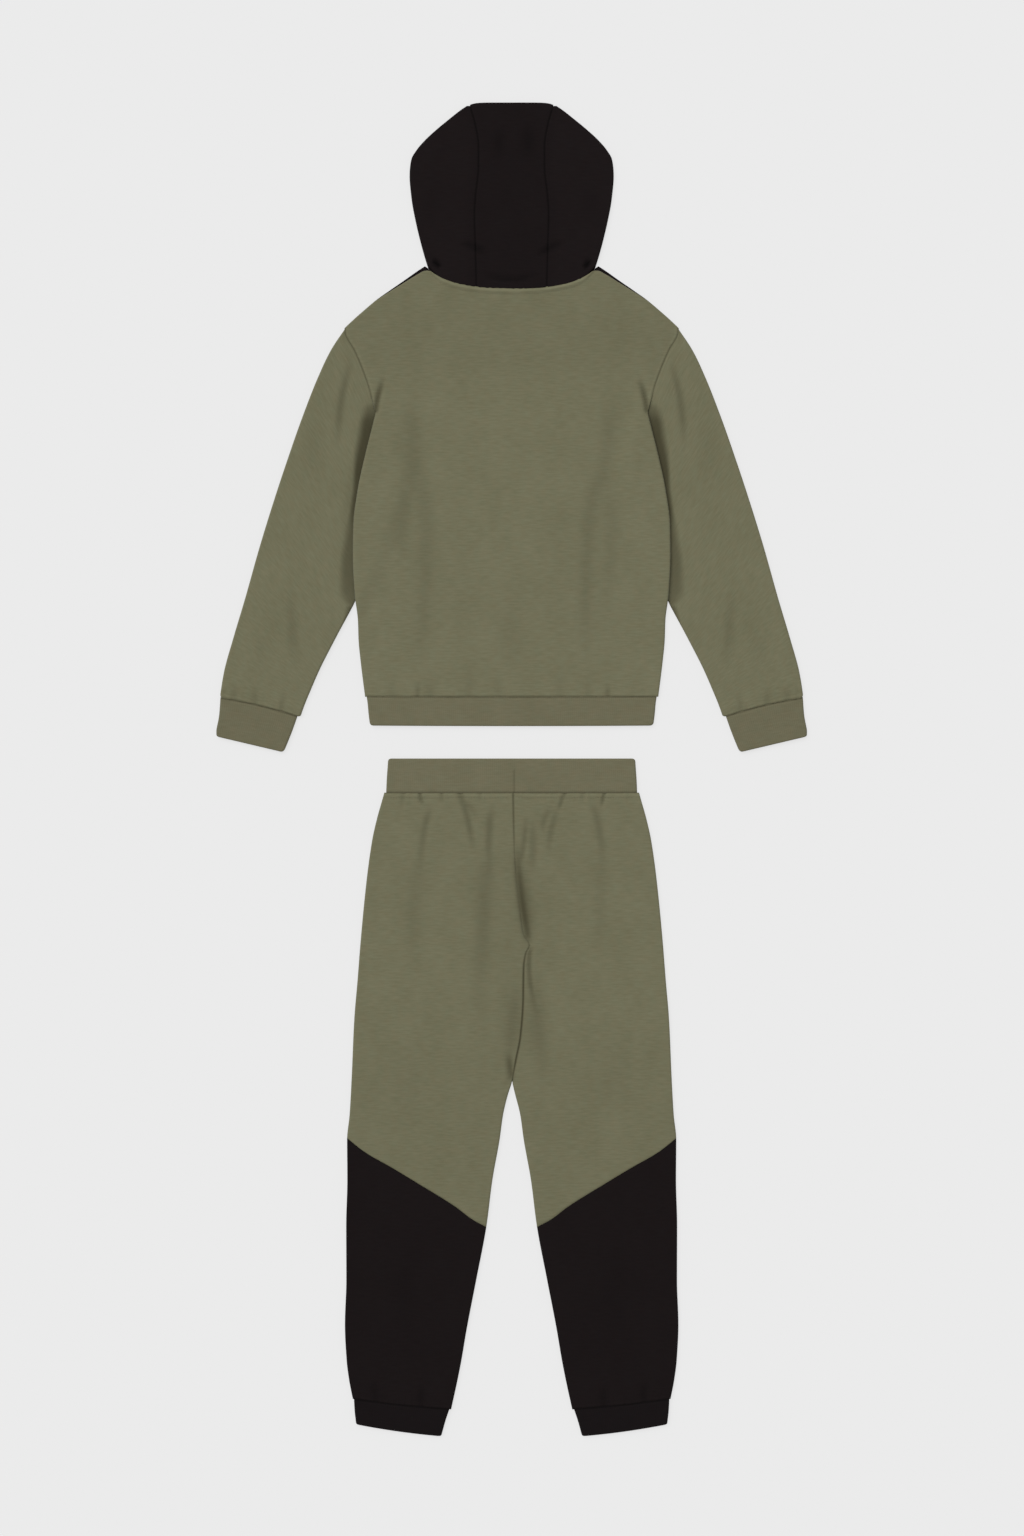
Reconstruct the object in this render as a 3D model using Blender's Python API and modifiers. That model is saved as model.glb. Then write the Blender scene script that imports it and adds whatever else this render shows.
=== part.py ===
"""Hooded sweatshirt and joggers, laid flat with their backs up.

Metres, +Z up. The set lies on z = 0, and the origin is under the middle of its box: x runs across it, and y
runs up it from the ankles to the hood. Each cut piece is one closed solid. The front pieces lie on the
surface, the back pieces lie on them, and the sleeves, bands and hood sides go round from back to front.
"""
from collections import namedtuple

import bmesh
import bpy
import numpy as np

# Cloth
JERSEY = 0.0018
RIB = 0.0024
SEAM_GAP = 0.0004
EDGE_SETBACK = 0.0015
JOIN_DISTANCE = 0.00001

# Heights of the upper face of what lies on top
BACK_TOP = 0.0050
SEAM_TOP = 0.0041
FOLD_TOP = 0.0080
SLEEVE_TOP = 0.0053
HOOD_TOP = 0.0056
BAND_TOP = 0.0056
LOWEST_TOP = 0.0042
HIGHEST_TOP = 0.0068

# Rolled edges: how wide they are, and how high their rim stands over what they lie on
ROLL_WIDTH = 0.0026
ROLL_MIDDLE = 0.3
RIM_HEIGHT = 0.0013
SIDE_RIM_TOP = JERSEY + RIM_HEIGHT
FOLD_RIM_TOP = SEAM_TOP + RIM_HEIGHT
TUBE_EDGE_DROP = 0.5
ROLL_FADE = 0.0120
SHOULDER_ROLL_START = 0.0980
SHOULDER_ROLL_RISE = 0.0060
SHOULDER_ROLL_END = 0.1990
SHOULDER_ROLL_FALL = 0.0080

# The underarm, where the body folds over the sleeve
FOLD_START_X = 0.1630
FOLD_START_Y = 0.4290
FOLD_RISE = 0.0300
FOLD_END_Y = 0.1950
FOLD_FALL = 0.0200
FOLD_SLOPE = 0.0250
FOLD_LEAD = 0.0010
UNDERARM_X = 0.1364
UNDERARM_Y = 0.3588
ARMHOLE_DIP_WIDTH = 0.0160
PRESSED_WIDTH = 0.0200
PRESSED_MARGIN = 0.0030

# Where one piece ends and the next begins
SHOULDER_WIDTH = 0.2002
NECK_WIDTH = 0.1018
HOOD_TOP_Y = 0.8004
HOOD_CORNER_DROP = 0.0028
HOOD_CORNER_POWER = 8
HOOD_MOUTH_GAP = 0.0005
HOOD_STRIP_NECK = 0.0422
YOKE_Y = 0.5021
HEM_SEAM_Y = 0.0868
HEM_SAG = 0.0006
WAIST_SEAM_Y = -0.0284
CROTCH_BOTTOM_Y = -0.3780
LEG_WIDTH = 0.1700
INSEAM_ROLL_START = 0.0200

Edge = namedtuple("Edge", "y x")
Across = namedtuple("Across", "x y")
SleeveRow = namedtuple("SleeveRow", "outer_x outer_y inner_x inner_y")
BandRow = namedtuple("BandRow", "outer_x outer_y inner_x inner_y sag")
Crease = namedtuple("Crease", "x y end_x end_y width rise")
Coat = namedtuple("Coat", "name colour roughness")

OLIVE_JERSEY = Coat("olive_jersey", (0.160, 0.154, 0.091), 0.92)
OLIVE_RIB = Coat("olive_rib", (0.148, 0.139, 0.083), 0.90)
BLACK_JERSEY = Coat("black_jersey", (0.0115, 0.0092, 0.0094), 0.90)
BLACK_RIB = Coat("black_rib", (0.0100, 0.0080, 0.0085), 0.90)

HOOD_SIDE = [
    Edge(0.7956, 0.0545), Edge(0.7908, 0.0616), Edge(0.7788, 0.0768), Edge(0.7668, 0.0913),
    Edge(0.7548, 0.1042), Edge(0.7428, 0.1144), Edge(0.7308, 0.1208), Edge(0.7116, 0.1226),
    Edge(0.6828, 0.1200), Edge(0.6588, 0.1156), Edge(0.6348, 0.1100), Edge(0.6168, 0.1051),
    Edge(0.6058, 0.1018),
]
HOOD_SEAM = [
    Edge(0.7968, 0.0498), Edge(0.7896, 0.0480), Edge(0.7752, 0.0440), Edge(0.7476, 0.0396),
    Edge(0.7236, 0.0396), Edge(0.6876, 0.0432), Edge(0.6648, 0.0446), Edge(0.6276, 0.0434),
    Edge(0.5784, HOOD_STRIP_NECK),
]
HOOD_NECK = [
    Across(0.0000, 0.5760), Across(0.0308, 0.5773), Across(0.0625, 0.5819), Across(0.0844, 0.5892),
    Across(0.0924, 0.5954), Across(0.0983, 0.6019), Across(NECK_WIDTH, 0.6058),
]
FRONT_NECK = [
    Across(0.0000, 0.5208), Across(0.0300, 0.5244), Across(0.0600, 0.5412), Across(0.0840, 0.5664),
    Across(0.0960, 0.5904), Across(NECK_WIDTH, 0.6058),
]
FRONT_SHOULDER = [
    Across(0.1028, 0.6046), Across(0.1118, 0.5988), Across(0.1288, 0.5868), Across(0.1462, 0.5748),
    Across(0.1631, 0.5628), Across(0.1769, 0.5508), Across(0.1903, 0.5388), Across(SHOULDER_WIDTH, 0.5292),
]
BACK_TOP_EDGE = [
    Across(0.0000, 0.5756), Across(0.0308, 0.5769), Across(0.0625, 0.5814), Across(0.0844, 0.5886),
    Across(0.0924, 0.5947), Across(0.0991, 0.5995), Across(0.1032, 0.6000), Across(0.1118, 0.5959),
    Across(0.1288, 0.5852), Across(0.1462, 0.5740), Across(0.1631, 0.5626), Across(0.1769, 0.5507),
    Across(0.1903, 0.5388), Across(SHOULDER_WIDTH, 0.5292),
]
BODY_SIDE = [
    Edge(0.5292, SHOULDER_WIDTH), Edge(0.5244, 0.2000), Edge(YOKE_Y, 0.1886), Edge(0.4728, 0.1764),
    Edge(0.4506, 0.1691), Edge(0.4320, 0.1637), Edge(FOLD_START_Y, FOLD_START_X), Edge(0.4164, 0.1658),
    Edge(0.3804, 0.1748), Edge(0.3360, 0.1844), Edge(0.2940, 0.1898), Edge(0.2568, 0.1904),
    Edge(0.2076, 0.1880), Edge(0.1980, 0.1866), Edge(0.1788, 0.1843), Edge(0.1548, 0.1835),
    Edge(0.1308, 0.1812), Edge(0.1068, 0.1783), Edge(HEM_SEAM_Y, 0.1757),
]
SLEEVE = [
    SleeveRow(0.2004, 0.5272, UNDERARM_X, UNDERARM_Y), SleeveRow(0.2166, 0.5040, 0.1398, 0.3384),
    SleeveRow(0.2330, 0.4692, 0.1458, 0.3156), SleeveRow(0.2544, 0.4140, 0.1592, 0.2748),
    SleeveRow(0.2694, 0.3708, 0.1724, 0.2376), SleeveRow(0.2814, 0.3348, 0.1878, 0.2016),
    SleeveRow(0.3018, 0.2694, 0.2106, 0.1584), SleeveRow(0.3206, 0.2028, 0.2302, 0.1200),
    SleeveRow(0.3342, 0.1572, 0.2412, 0.0948), SleeveRow(0.3454, 0.1164, 0.2486, 0.0768),
    SleeveRow(0.3505, 0.0860, 0.2537, 0.0638),
]
CUFF = [
    BandRow(0.3498, 0.0853, 0.2571, 0.0641, 0.0), BandRow(0.3514, 0.0648, 0.2625, 0.0492, 0.0),
    BandRow(0.3546, 0.0456, 0.2681, 0.0340, 0.0), BandRow(0.3544, 0.0390, 0.2738, 0.0200, 0.0),
]
HEM_RIB = [
    BandRow(0.1742, 0.0864, -0.1742, 0.0864, HEM_SAG), BandRow(0.1730, 0.0792, -0.1730, 0.0792, HEM_SAG),
    BandRow(0.1718, 0.0660, -0.1718, 0.0660, HEM_SAG), BandRow(0.1696, 0.0521, -0.1696, 0.0521, HEM_SAG),
]
WAISTBAND = [
    BandRow(0.1452, 0.0126, -0.1452, 0.0126, 0.0), BandRow(0.1481, 0.0100, -0.1481, 0.0100, 0.0),
    BandRow(0.1492, -0.0012, -0.1492, -0.0012, 0.0), BandRow(0.1501, -0.0144, -0.1501, -0.0144, 0.0),
    BandRow(0.1505, -0.0280, -0.1505, -0.0280, 0.0),
]
ANKLE_RIB = [
    BandRow(0.1894, -0.7566, 0.0745, -0.7692, 0.0010), BandRow(0.1886, -0.7700, 0.0790, -0.7810, 0.0012),
    BandRow(0.1867, -0.7867, 0.0846, -0.8010, 0.0014),
]
LEG_OUTER = [
    Edge(WAIST_SEAM_Y, 0.1529), Edge(-0.0372, 0.1554), Edge(-0.0612, 0.1621), Edge(-0.0852, 0.1674),
    Edge(-0.1332, 0.1741), Edge(-0.2052, 0.1812), Edge(-0.2532, 0.1850), Edge(-0.3012, 0.1890),
    Edge(-0.3732, 0.1922), Edge(-0.4152, 0.1946), Edge(-0.4452, 0.1976), Edge(-0.4932, 0.1973),
    Edge(-0.5484, 0.1987), Edge(-0.6132, 0.1985), Edge(-0.6672, 0.2002), Edge(-0.7092, 0.1982),
    Edge(-0.7332, 0.1952), Edge(-0.7568, 0.1906),
]
MIDDLE_SEAM = [
    Edge(WAIST_SEAM_Y, 0.0019), Edge(-0.0792, 0.0020), Edge(-0.1236, 0.0056), Edge(-0.1632, 0.0100),
    Edge(-0.1974, 0.0142), Edge(-0.2118, 0.0215), Edge(-0.2208, 0.0172), Edge(-0.2376, 0.0145),
    Edge(-0.2808, 0.0137), Edge(-0.3228, 0.0103), Edge(-0.3504, 0.0049), Edge(-0.3732, 0.0009),
]
INSEAM = [
    Edge(-0.3852, 0.0032), Edge(-0.4152, 0.0106), Edge(-0.4452, 0.0148), Edge(-0.4932, 0.0234),
    Edge(-0.5484, 0.0305), Edge(-0.6132, 0.0428), Edge(-0.6732, 0.0544), Edge(-0.7092, 0.0605),
    Edge(-0.7332, 0.0652), Edge(-0.7692, 0.0731),
]
BLOCK_SEAM = [
    Across(0.0300, -0.5496), Across(0.0476, -0.5400), Across(0.0668, -0.5256), Across(0.1136, -0.4968),
    Across(0.1436, -0.4788), Across(0.1772, -0.4596), Across(0.1980, -0.4432),
]
ANKLE_SEAM = [
    Across(0.0731, -0.7684), Across(0.1160, -0.7651), Across(0.1568, -0.7608), Across(0.1906, -0.7558),
]

BACK_CREASES = [
    Crease(-0.118, 0.430, -0.112, 0.120, 0.016, -0.0009), Crease(0.118, 0.430, 0.112, 0.120, 0.016, -0.0009),
    Crease(-0.052, 0.140, -0.050, 0.087, 0.007, -0.0006), Crease(0.058, 0.150, 0.059, 0.087, 0.007, -0.0006),
]
SLEEVE_CREASES = [
    Crease(0.1916, 0.4896, 0.2060, 0.4284, 0.010, -0.0010),
    Crease(0.2060, 0.4284, 0.2084, 0.3864, 0.010, -0.0008),
    Crease(0.2550, 0.1548, 0.2580, 0.0740, 0.008, 0.0012),
    Crease(0.2900, 0.1400, 0.2890, 0.0900, 0.009, -0.0009),
    Crease(0.2450, 0.3300, 0.2500, 0.2300, 0.016, -0.0006),
]
HOOD_CREASES = [
    Crease(0.0620, 0.6312, 0.0440, 0.6264, 0.005, -0.0007),
    Crease(0.0900, 0.6960, 0.0960, 0.6500, 0.012, -0.0006),
]
WAIST_GATHERS = [
    Crease(-0.1088, -0.028, -0.1064, -0.066, 0.0042, -0.0016),
    Crease(-0.0980, -0.028, -0.0974, -0.070, 0.0042, -0.0009),
    Crease(-0.0668, -0.028, -0.0428, -0.101, 0.0045, -0.0013),
    Crease(-0.0566, -0.028, -0.0560, -0.064, 0.0042, -0.0009),
    Crease(-0.0212, -0.028, -0.0284, -0.097, 0.0045, -0.0011),
    Crease(0.0172, -0.028, 0.0100, -0.124, 0.0048, -0.0014),
    Crease(0.0604, -0.028, 0.0448, -0.097, 0.0045, -0.0011),
    Crease(0.1108, -0.028, 0.1072, -0.052, 0.0042, -0.0016),
]
LEG_CREASES = [
    Crease(-0.1064, -0.066, -0.1064, -0.277, 0.012, -0.0009),
    Crease(-0.0296, -0.110, -0.0296, -0.277, 0.012, -0.0009),
    Crease(0.1072, -0.052, 0.1072, -0.260, 0.012, -0.0009),
    Crease(0.0230, -0.120, 0.0200, -0.210, 0.008, -0.0012),
]

BACK_COLUMNS = [0.0, 0.0154, 0.0308, 0.0625, 0.0844, 0.0924, 0.0991, 0.1118, 0.1288, 0.1462, 0.1631, 0.1769,
                0.1903]
BACK_ROWS_BELOW_YOKE = [
    0.4728, 0.4506, 0.4380, FOLD_START_Y, 0.4164, 0.3960, 0.3700, 0.3360, 0.2940, 0.2568, 0.2200, 0.2010,
    0.1900, 0.1790, 0.1548, 0.1308, 0.1068, 0.0950, HEM_SEAM_Y,
]
YOKE_STEPS = [0.0, 0.012, 0.045, 0.30, 0.65, 1.0]
LEG_ROWS = [
    WAIST_SEAM_Y, -0.0380, -0.0500, -0.0660, -0.0850, -0.1050, -0.1300, -0.1632, -0.1974, -0.2118, -0.2208,
    -0.2376, -0.2808, -0.3228, -0.3504, CROTCH_BOTTOM_Y,
]
BLOCK_STEPS = [0.25, 0.5, 0.75, 1.0]
SEAM_COLUMNS = [0.105, 0.219, 0.498, 0.676, 0.876]
LEFT_LEG_COLUMNS = sorted(SEAM_COLUMNS + [0.150, 0.300, 0.375, 0.440, 0.580, 0.640, 0.710, 0.800])
RIGHT_LEG_COLUMNS = sorted(SEAM_COLUMNS + [0.060, 0.150, 0.300, 0.390, 0.450, 0.580, 0.740, 0.810, 0.940])
SHIN_ROWS = 10
SLEEVE_ROWS = 18
SLEEVE_COLUMNS = np.linspace(0, 1, 9)[1:-1]
SMALL_BAND_COLUMNS = np.linspace(0, 1, 8)[1:-1]
WIDE_BAND_COLUMNS = np.linspace(0, 1, 16)[1:-1]
BAND_ROWS = 5
HOOD_STRIP_STEPS = [0, 0.004, 0.014, 0.05, 0.09, 0.13, 0.17, 0.23, 0.30, 0.40, 0.53, 0.68, 0.84, 1]
HOOD_STRIP_COLUMNS = np.linspace(-1, 1, 7)
HOOD_SIDE_COLUMNS = np.array([[0.35, 0.7]])


def smooth(at, places, values):
    """A curve through (places, values), read at the given places, which never overshoots its points.

    Between two points it is the cubic whose end slopes are the harmonic mean of the slopes on each side.
    """
    places = np.asarray(places, float)
    values = np.asarray(values, float)
    if places[0] > places[-1]:
        places, values = places[::-1], values[::-1]
    steps = np.diff(places)
    slopes = np.diff(values) / steps
    product = slopes[:-1] * slopes[1:]
    total = slopes[:-1] + slopes[1:]
    inner = np.where(product > 0, 2 * product / np.where(total == 0, 1, total), 0)
    tangents = np.concatenate([slopes[:1], inner, slopes[-1:]])
    at = np.clip(at, places[0], places[-1])
    k = np.clip(np.searchsorted(places, at) - 1, 0, len(steps) - 1)
    t = (at - places[k]) / steps[k]
    start = (1 + 2 * t) * (1 - t) ** 2 * values[k] + t * (1 - t) ** 2 * steps[k] * tangents[k]
    end = t * t * (3 - 2 * t) * values[k + 1] - t * t * (1 - t) * steps[k] * tangents[k + 1]
    return start + end


def straight(at, rows, place, value):
    """A column of a table, read along straight lines against another of its columns."""
    pairs = sorted((getattr(row, place), getattr(row, value)) for row in rows)
    return np.interp(at, [pair[0] for pair in pairs], [pair[1] for pair in pairs])


def ease(amount):
    """0 below 0, 1 above 1, and an S curve between them."""
    amount = np.clip(amount, 0, 1)
    return amount * amount * (3 - 2 * amount)


def creases(x, y, rows):
    """The sum of all creases at (x, y): each is a bell across its line, and fades out past its ends."""
    height = np.zeros(np.broadcast(x, y).shape)
    for row in rows:
        run_x = row.end_x - row.x
        run_y = row.end_y - row.y
        t = np.clip(((x - row.x) * run_x + (y - row.y) * run_y) / (run_x ** 2 + run_y ** 2), 0, 1)
        away = (x - row.x - t * run_x) ** 2 + (y - row.y - t * run_y) ** 2
        height = height + row.rise * np.exp(-away / row.width ** 2)
    return height


def roll(distance):
    """How far a rolled edge has dropped, from 1 at the edge to 0 one width in: a quarter of a circle."""
    inward = 1 - np.clip(distance / ROLL_WIDTH, 0, 1)
    return 1 - np.sqrt(1 - inward ** 2)


def material(coat):
    """A plain cloth finish."""
    made = bpy.data.materials.new(coat.name)
    made.use_nodes = True
    shader = made.node_tree.nodes["Principled BSDF"]
    shader.inputs["Base Color"].default_value = (*coat.colour, 1)
    shader.inputs["Roughness"].default_value = coat.roughness
    shader.inputs["Metallic"].default_value = 0
    return made


def cloth(garment, name, coat, points, wall, ring=False, turned=False):
    """A named piece of cloth: a grid moved to the given rows of points, and made a wall inwards.

    A ring's last column meets its first. Turned swaps which side is the outer one.
    """
    rows, columns = points.shape[:2]
    across = columns - 1 + int(ring)
    shape = bmesh.new()
    bmesh.ops.create_grid(shape, x_segments=across, y_segments=rows - 1, size=1)
    for vertex in shape.verts:
        column = round((vertex.co.x + 1) / 2 * across) % columns
        row = round((vertex.co.y + 1) / 2 * (rows - 1))
        vertex.co = points[row, column]
    if ring:
        bmesh.ops.remove_doubles(shape, verts=shape.verts, dist=JOIN_DISTANCE)
    if turned:
        bmesh.ops.reverse_faces(shape, faces=shape.faces)
    mesh = bpy.data.meshes.new(name)
    shape.to_mesh(mesh)
    shape.free()
    mesh.shade_smooth()
    mesh.materials.append(material(coat))
    piece = bpy.data.objects.new(name, mesh)
    shell = piece.modifiers.new("wall", "SOLIDIFY")
    shell.thickness = wall
    shell.offset = -1
    garment.objects.link(piece)


def plate(garment, name, coat, outline):
    """A front piece that lies flat on the surface: a filled outline, one cloth thick."""
    line = bpy.data.curves.new(name, "CURVE")
    line.dimensions = "2D"
    line.fill_mode = "BOTH"
    line.extrude = JERSEY / 2
    spline = line.splines.new("POLY")
    spline.points.add(len(outline) - 1)
    for point, (x, y) in zip(spline.points, outline):
        point.co = (x, y, 0, 1)
    spline.use_cyclic_u = True
    line.materials.append(material(coat))
    piece = bpy.data.objects.new(name, line)
    piece.location.z = JERSEY / 2
    weld = piece.modifiers.new("caps", "WELD")
    weld.merge_threshold = JOIN_DISTANCE
    garment.objects.link(piece)


def mirrored(points):
    """The same points on the other side of x = 0."""
    return points * np.array([-1, 1, 1])


def edge_shares(columns, width):
    """Shares of the way across a piece that rolls down at both edges."""
    part = ROLL_WIDTH / width
    return np.array([0, ROLL_MIDDLE * part, part, *columns, 1 - part, 1 - ROLL_MIDDLE * part, 1])


def hood_neck_y(x):
    """The seam between hood and back."""
    return straight(np.abs(x), HOOD_NECK, "x", "y")


def front_neck_y(x):
    """The seam between hood and front."""
    return straight(np.abs(x), FRONT_NECK, "x", "y")


def body_side_x(y):
    """The back's side: armhole seam, then the fold over the sleeve, then the side seam."""
    return straight(y, BODY_SIDE, "y", "x")


def sleeve_line_x(y):
    """The hidden line where the sleeve begins: the armhole down to the underarm, then its inner edge."""
    armhole = np.interp(y, [UNDERARM_Y, FOLD_START_Y], [UNDERARM_X, FOLD_START_X])
    return np.where(y > UNDERARM_Y, armhole, straight(y, SLEEVE, "inner_y", "inner_x"))


def armhole_x(y):
    """The whole armhole seam, which the body's fold covers at its lower end."""
    return np.where(y > FOLD_START_Y, body_side_x(y), sleeve_line_x(y))


def before_fold_end(y):
    """1 above the place where the sleeve comes out from under the body, 0 below it."""
    return ease((y - FOLD_END_Y + FOLD_FALL) / FOLD_FALL)


def back_height(x, y):
    """The upper face of the sweatshirt's back, before its edges roll down.

    It is level, dips to the armhole seam, and climbs over the hidden part of each sleeve.
    """
    out = np.abs(x)
    above_fold = ease((y - FOLD_START_Y) / FOLD_RISE)
    dip = (BACK_TOP - SEAM_TOP) * above_fold * (1 - ease((body_side_x(y) - out) / ARMHOLE_DIP_WIDTH))
    climb = ease(1 - (sleeve_line_x(y) - FOLD_LEAD - out) / FOLD_SLOPE) * (1 - above_fold) * before_fold_end(y)
    return BACK_TOP - dip + (FOLD_TOP - BACK_TOP) * climb + creases(x, y, BACK_CREASES) * (1 - climb)


def back_points():
    """Rows from the neck and shoulders down to the hem. The columns spread and close with the sides."""
    edge = [SHOULDER_WIDTH - ROLL_WIDTH, SHOULDER_WIDTH - ROLL_MIDDLE * ROLL_WIDTH, SHOULDER_WIDTH]
    half = np.array(BACK_COLUMNS + edge) / SHOULDER_WIDTH
    across = np.concatenate([-half[:0:-1], half])
    out = np.abs(across) * SHOULDER_WIDTH
    top = straight(out, BACK_TOP_EDGE, "x", "y")
    yoke = top + (YOKE_Y - top) * np.array(YOKE_STEPS)[:, None]
    lower = np.repeat(np.array(BACK_ROWS_BELOW_YOKE)[:, None], len(across), axis=1)
    lower[-1] -= HEM_SAG * (1 - across ** 2)
    y = np.vstack([yoke, lower])
    x = across * (body_side_x(y) - SEAM_GAP / 2)
    z = back_height(x, y)
    side_rim = SIDE_RIM_TOP + (FOLD_RIM_TOP - SIDE_RIM_TOP) * before_fold_end(y)
    side_roll = roll((1 - np.abs(across)) * body_side_x(y)) * (1 - ease((y - FOLD_START_Y) / ROLL_FADE))
    z = z - (z - side_rim) * side_roll
    on_shoulder = ease((out - SHOULDER_ROLL_START) / SHOULDER_ROLL_RISE)
    on_shoulder = on_shoulder * ease((SHOULDER_ROLL_END - out) / SHOULDER_ROLL_FALL)
    z = z - (z - SIDE_RIM_TOP) * roll(top - y) * on_shoulder
    return np.stack([x, y, z], axis=2)


def front_outline():
    """Half of the sweatshirt's front from its neck round to the hem, then its mirror image."""
    neck = [(row.x + SEAM_GAP, row.y - SEAM_GAP) for row in FRONT_NECK[:-1]]
    shoulder = [(row.x, row.y) for row in FRONT_SHOULDER[:-1]]
    corner = [(FRONT_SHOULDER[-1].x - 2 * SEAM_GAP, FRONT_SHOULDER[-1].y)]
    under = [(row.inner_x - 2 * SEAM_GAP, row.inner_y) for row in SLEEVE if row.inner_y > FOLD_END_Y]
    side = [(row.x, row.y) for row in BODY_SIDE if row.y < FOLD_END_Y]
    half = neck + shoulder + corner + under + side
    return half + [(-x, y) for x, y in reversed(half)]


def ring_section(outer, inner, height, columns, sag):
    """Closed rings round a flattened tube, one for each row.

    outer and inner are rows of (x, y) on its two edges, and height gives the upper face at (x, y). A ring
    goes over the top from the outer to the inner edge, rolls down, and comes back flat on the surface.
    """
    span = inner - outer
    width = np.linalg.norm(span, axis=1)
    top = np.array([edge_shares(columns, w) for w in width])
    part = ROLL_WIDTH / width[:, None]
    under = np.hstack([1 - part / 2, np.full_like(part, 1 / 2), part / 2])
    share = np.hstack([top, under])
    x = outer[:, :1] + span[:, :1] * share
    y = outer[:, 1:] + span[:, 1:] * share - 4 * sag * share * (1 - share)
    count = top.shape[1]
    upper = height(x[:, :count], y[:, :count])
    z = np.zeros_like(x)
    z[:, :count] = upper * (1 - TUBE_EDGE_DROP * roll(np.minimum(top, 1 - top) * width[:, None]))
    return np.stack([x, y, z], axis=2)


def edge_lines(rows, count):
    """A table's outer and inner edges, and what else it holds, read at evenly spaced rows."""
    at = np.linspace(0, len(rows) - 1, count)
    order = np.arange(len(rows))
    value = {name: smooth(at, order, [getattr(row, name) for row in rows]) for name in rows[0]._fields}
    outer = np.stack([value["outer_x"], value["outer_y"]], axis=1)
    inner = np.stack([value["inner_x"], value["inner_y"]], axis=1)
    return outer, inner, value


def sleeve_height(x, y):
    """The upper face of a sleeve: full, but pressed down under the body's fold and to the armhole seam."""
    pressed = 1 - ease((np.abs(x) - body_side_x(y) - PRESSED_MARGIN) / PRESSED_WIDTH)
    full = np.clip(SLEEVE_TOP + creases(np.abs(x), y, SLEEVE_CREASES), LOWEST_TOP, HIGHEST_TOP)
    return full + (SEAM_TOP - full) * pressed


def sleeve_points():
    """Rings from the armhole seam to the cuff seam. The first follows the back's armhole over the top."""
    outer, inner, _ = edge_lines(SLEEVE, SLEEVE_ROWS)
    points = ring_section(outer, inner, sleeve_height, SLEEVE_COLUMNS, 0)
    over = points[0, :len(edge_shares(SLEEVE_COLUMNS, 1))]
    over[:, 0] = armhole_x(over[:, 1]) + SEAM_GAP / 2
    from_shoulder = np.linalg.norm(points[0, :, :2] - outer[0], axis=1)
    points[0, :, 0] += SEAM_GAP / 2 + EDGE_SETBACK * roll(from_shoulder)
    return points


def band_points(rows, columns):
    """Rings of a ribbed band."""
    outer, inner, value = edge_lines(rows, BAND_ROWS)
    return ring_section(outer, inner, lambda x, y: np.full_like(x, BAND_TOP), columns, value["sag"][:, None])


def hood_height(x, y):
    """The upper face of the hood."""
    return HOOD_TOP + creases(np.abs(x), y, HOOD_CREASES)


def hood_side_points():
    """Rows from the crown to the neck. Each goes from the middle strip's seam over the top to the outline,
    rolls down, and comes back along the surface to the closed mouth of the hood, at the middle.
    """
    side_y = np.array([row.y for row in HOOD_SIDE])[:, None]
    side_x = np.array([row.x for row in HOOD_SIDE])[:, None]
    crown_y = side_y[0, 0]
    down = (crown_y - side_y) / (crown_y - side_y[-1])
    seam_y = crown_y + (hood_neck_y(HOOD_STRIP_NECK) - crown_y) * down
    seam_x = straight(seam_y, HOOD_SEAM, "y", "x") + SEAM_GAP
    full = side_x - seam_x
    part = ROLL_WIDTH / full
    inside = 1 - part
    flat = inside * HOOD_SIDE_COLUMNS
    upper = np.hstack([0 * full, flat, inside, 1 - ROLL_MIDDLE * part, 1 + 0 * full])
    upper_end = seam_x[-1] + (NECK_WIDTH - seam_x[-1]) * upper
    upper_y = crown_y + (hood_neck_y(upper_end) - crown_y) * down
    under = side_x - HOOD_MOUTH_GAP
    lower = np.hstack([1 - ROLL_WIDTH / under / 2, 0 * under + HOOD_SIDE_COLUMNS[:, ::-1], 0 * under])
    lower_end = HOOD_MOUTH_GAP + (NECK_WIDTH - HOOD_MOUTH_GAP) * lower
    lower_y = crown_y + (front_neck_y(lower_end) - crown_y) * down
    x = np.hstack([seam_x + full * upper, HOOD_MOUTH_GAP + under * lower])
    y = np.hstack([upper_y, lower_y])
    z = np.zeros_like(x)
    count = upper.shape[1]
    z[:, :count] = hood_height(x[:, :count], upper_y) * (1 - TUBE_EDGE_DROP * roll((1 - upper) * full))
    return np.stack([x, y, z], axis=2)


def hood_strip_points():
    """The middle strip, from the crown, where it rolls down to the surface, to the neck."""
    across = HOOD_STRIP_COLUMNS[None, :]
    top = HOOD_TOP_Y - HOOD_CORNER_DROP * across ** HOOD_CORNER_POWER
    end = hood_neck_y(across * HOOD_STRIP_NECK)
    y = top + (end - top) * np.array(HOOD_STRIP_STEPS)[:, None]
    x = across * (straight(y, HOOD_SEAM, "y", "x") - SEAM_GAP / 2)
    height = hood_height(x, y)
    z = height - (height - RIM_HEIGHT) * roll(top - y)
    return np.stack([x, y, z], axis=2)


def leg_inner_x(y, side):
    """A leg's inner edge, as a distance out from the middle: the middle seam, then the inseam."""
    rows = [Edge(row.y, side * row.x) for row in MIDDLE_SEAM] + INSEAM
    return straight(y, rows, "y", "x")


def leg_outer_x(y):
    """The outer edge of both legs."""
    return straight(y, LEG_OUTER, "y", "x")


def seam_across(rows, share):
    """A seam across a leg, read from its inner end to its outer end."""
    first = rows[0].x
    return straight(first + (rows[-1].x - first) * share, rows, "x", "y")


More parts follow.
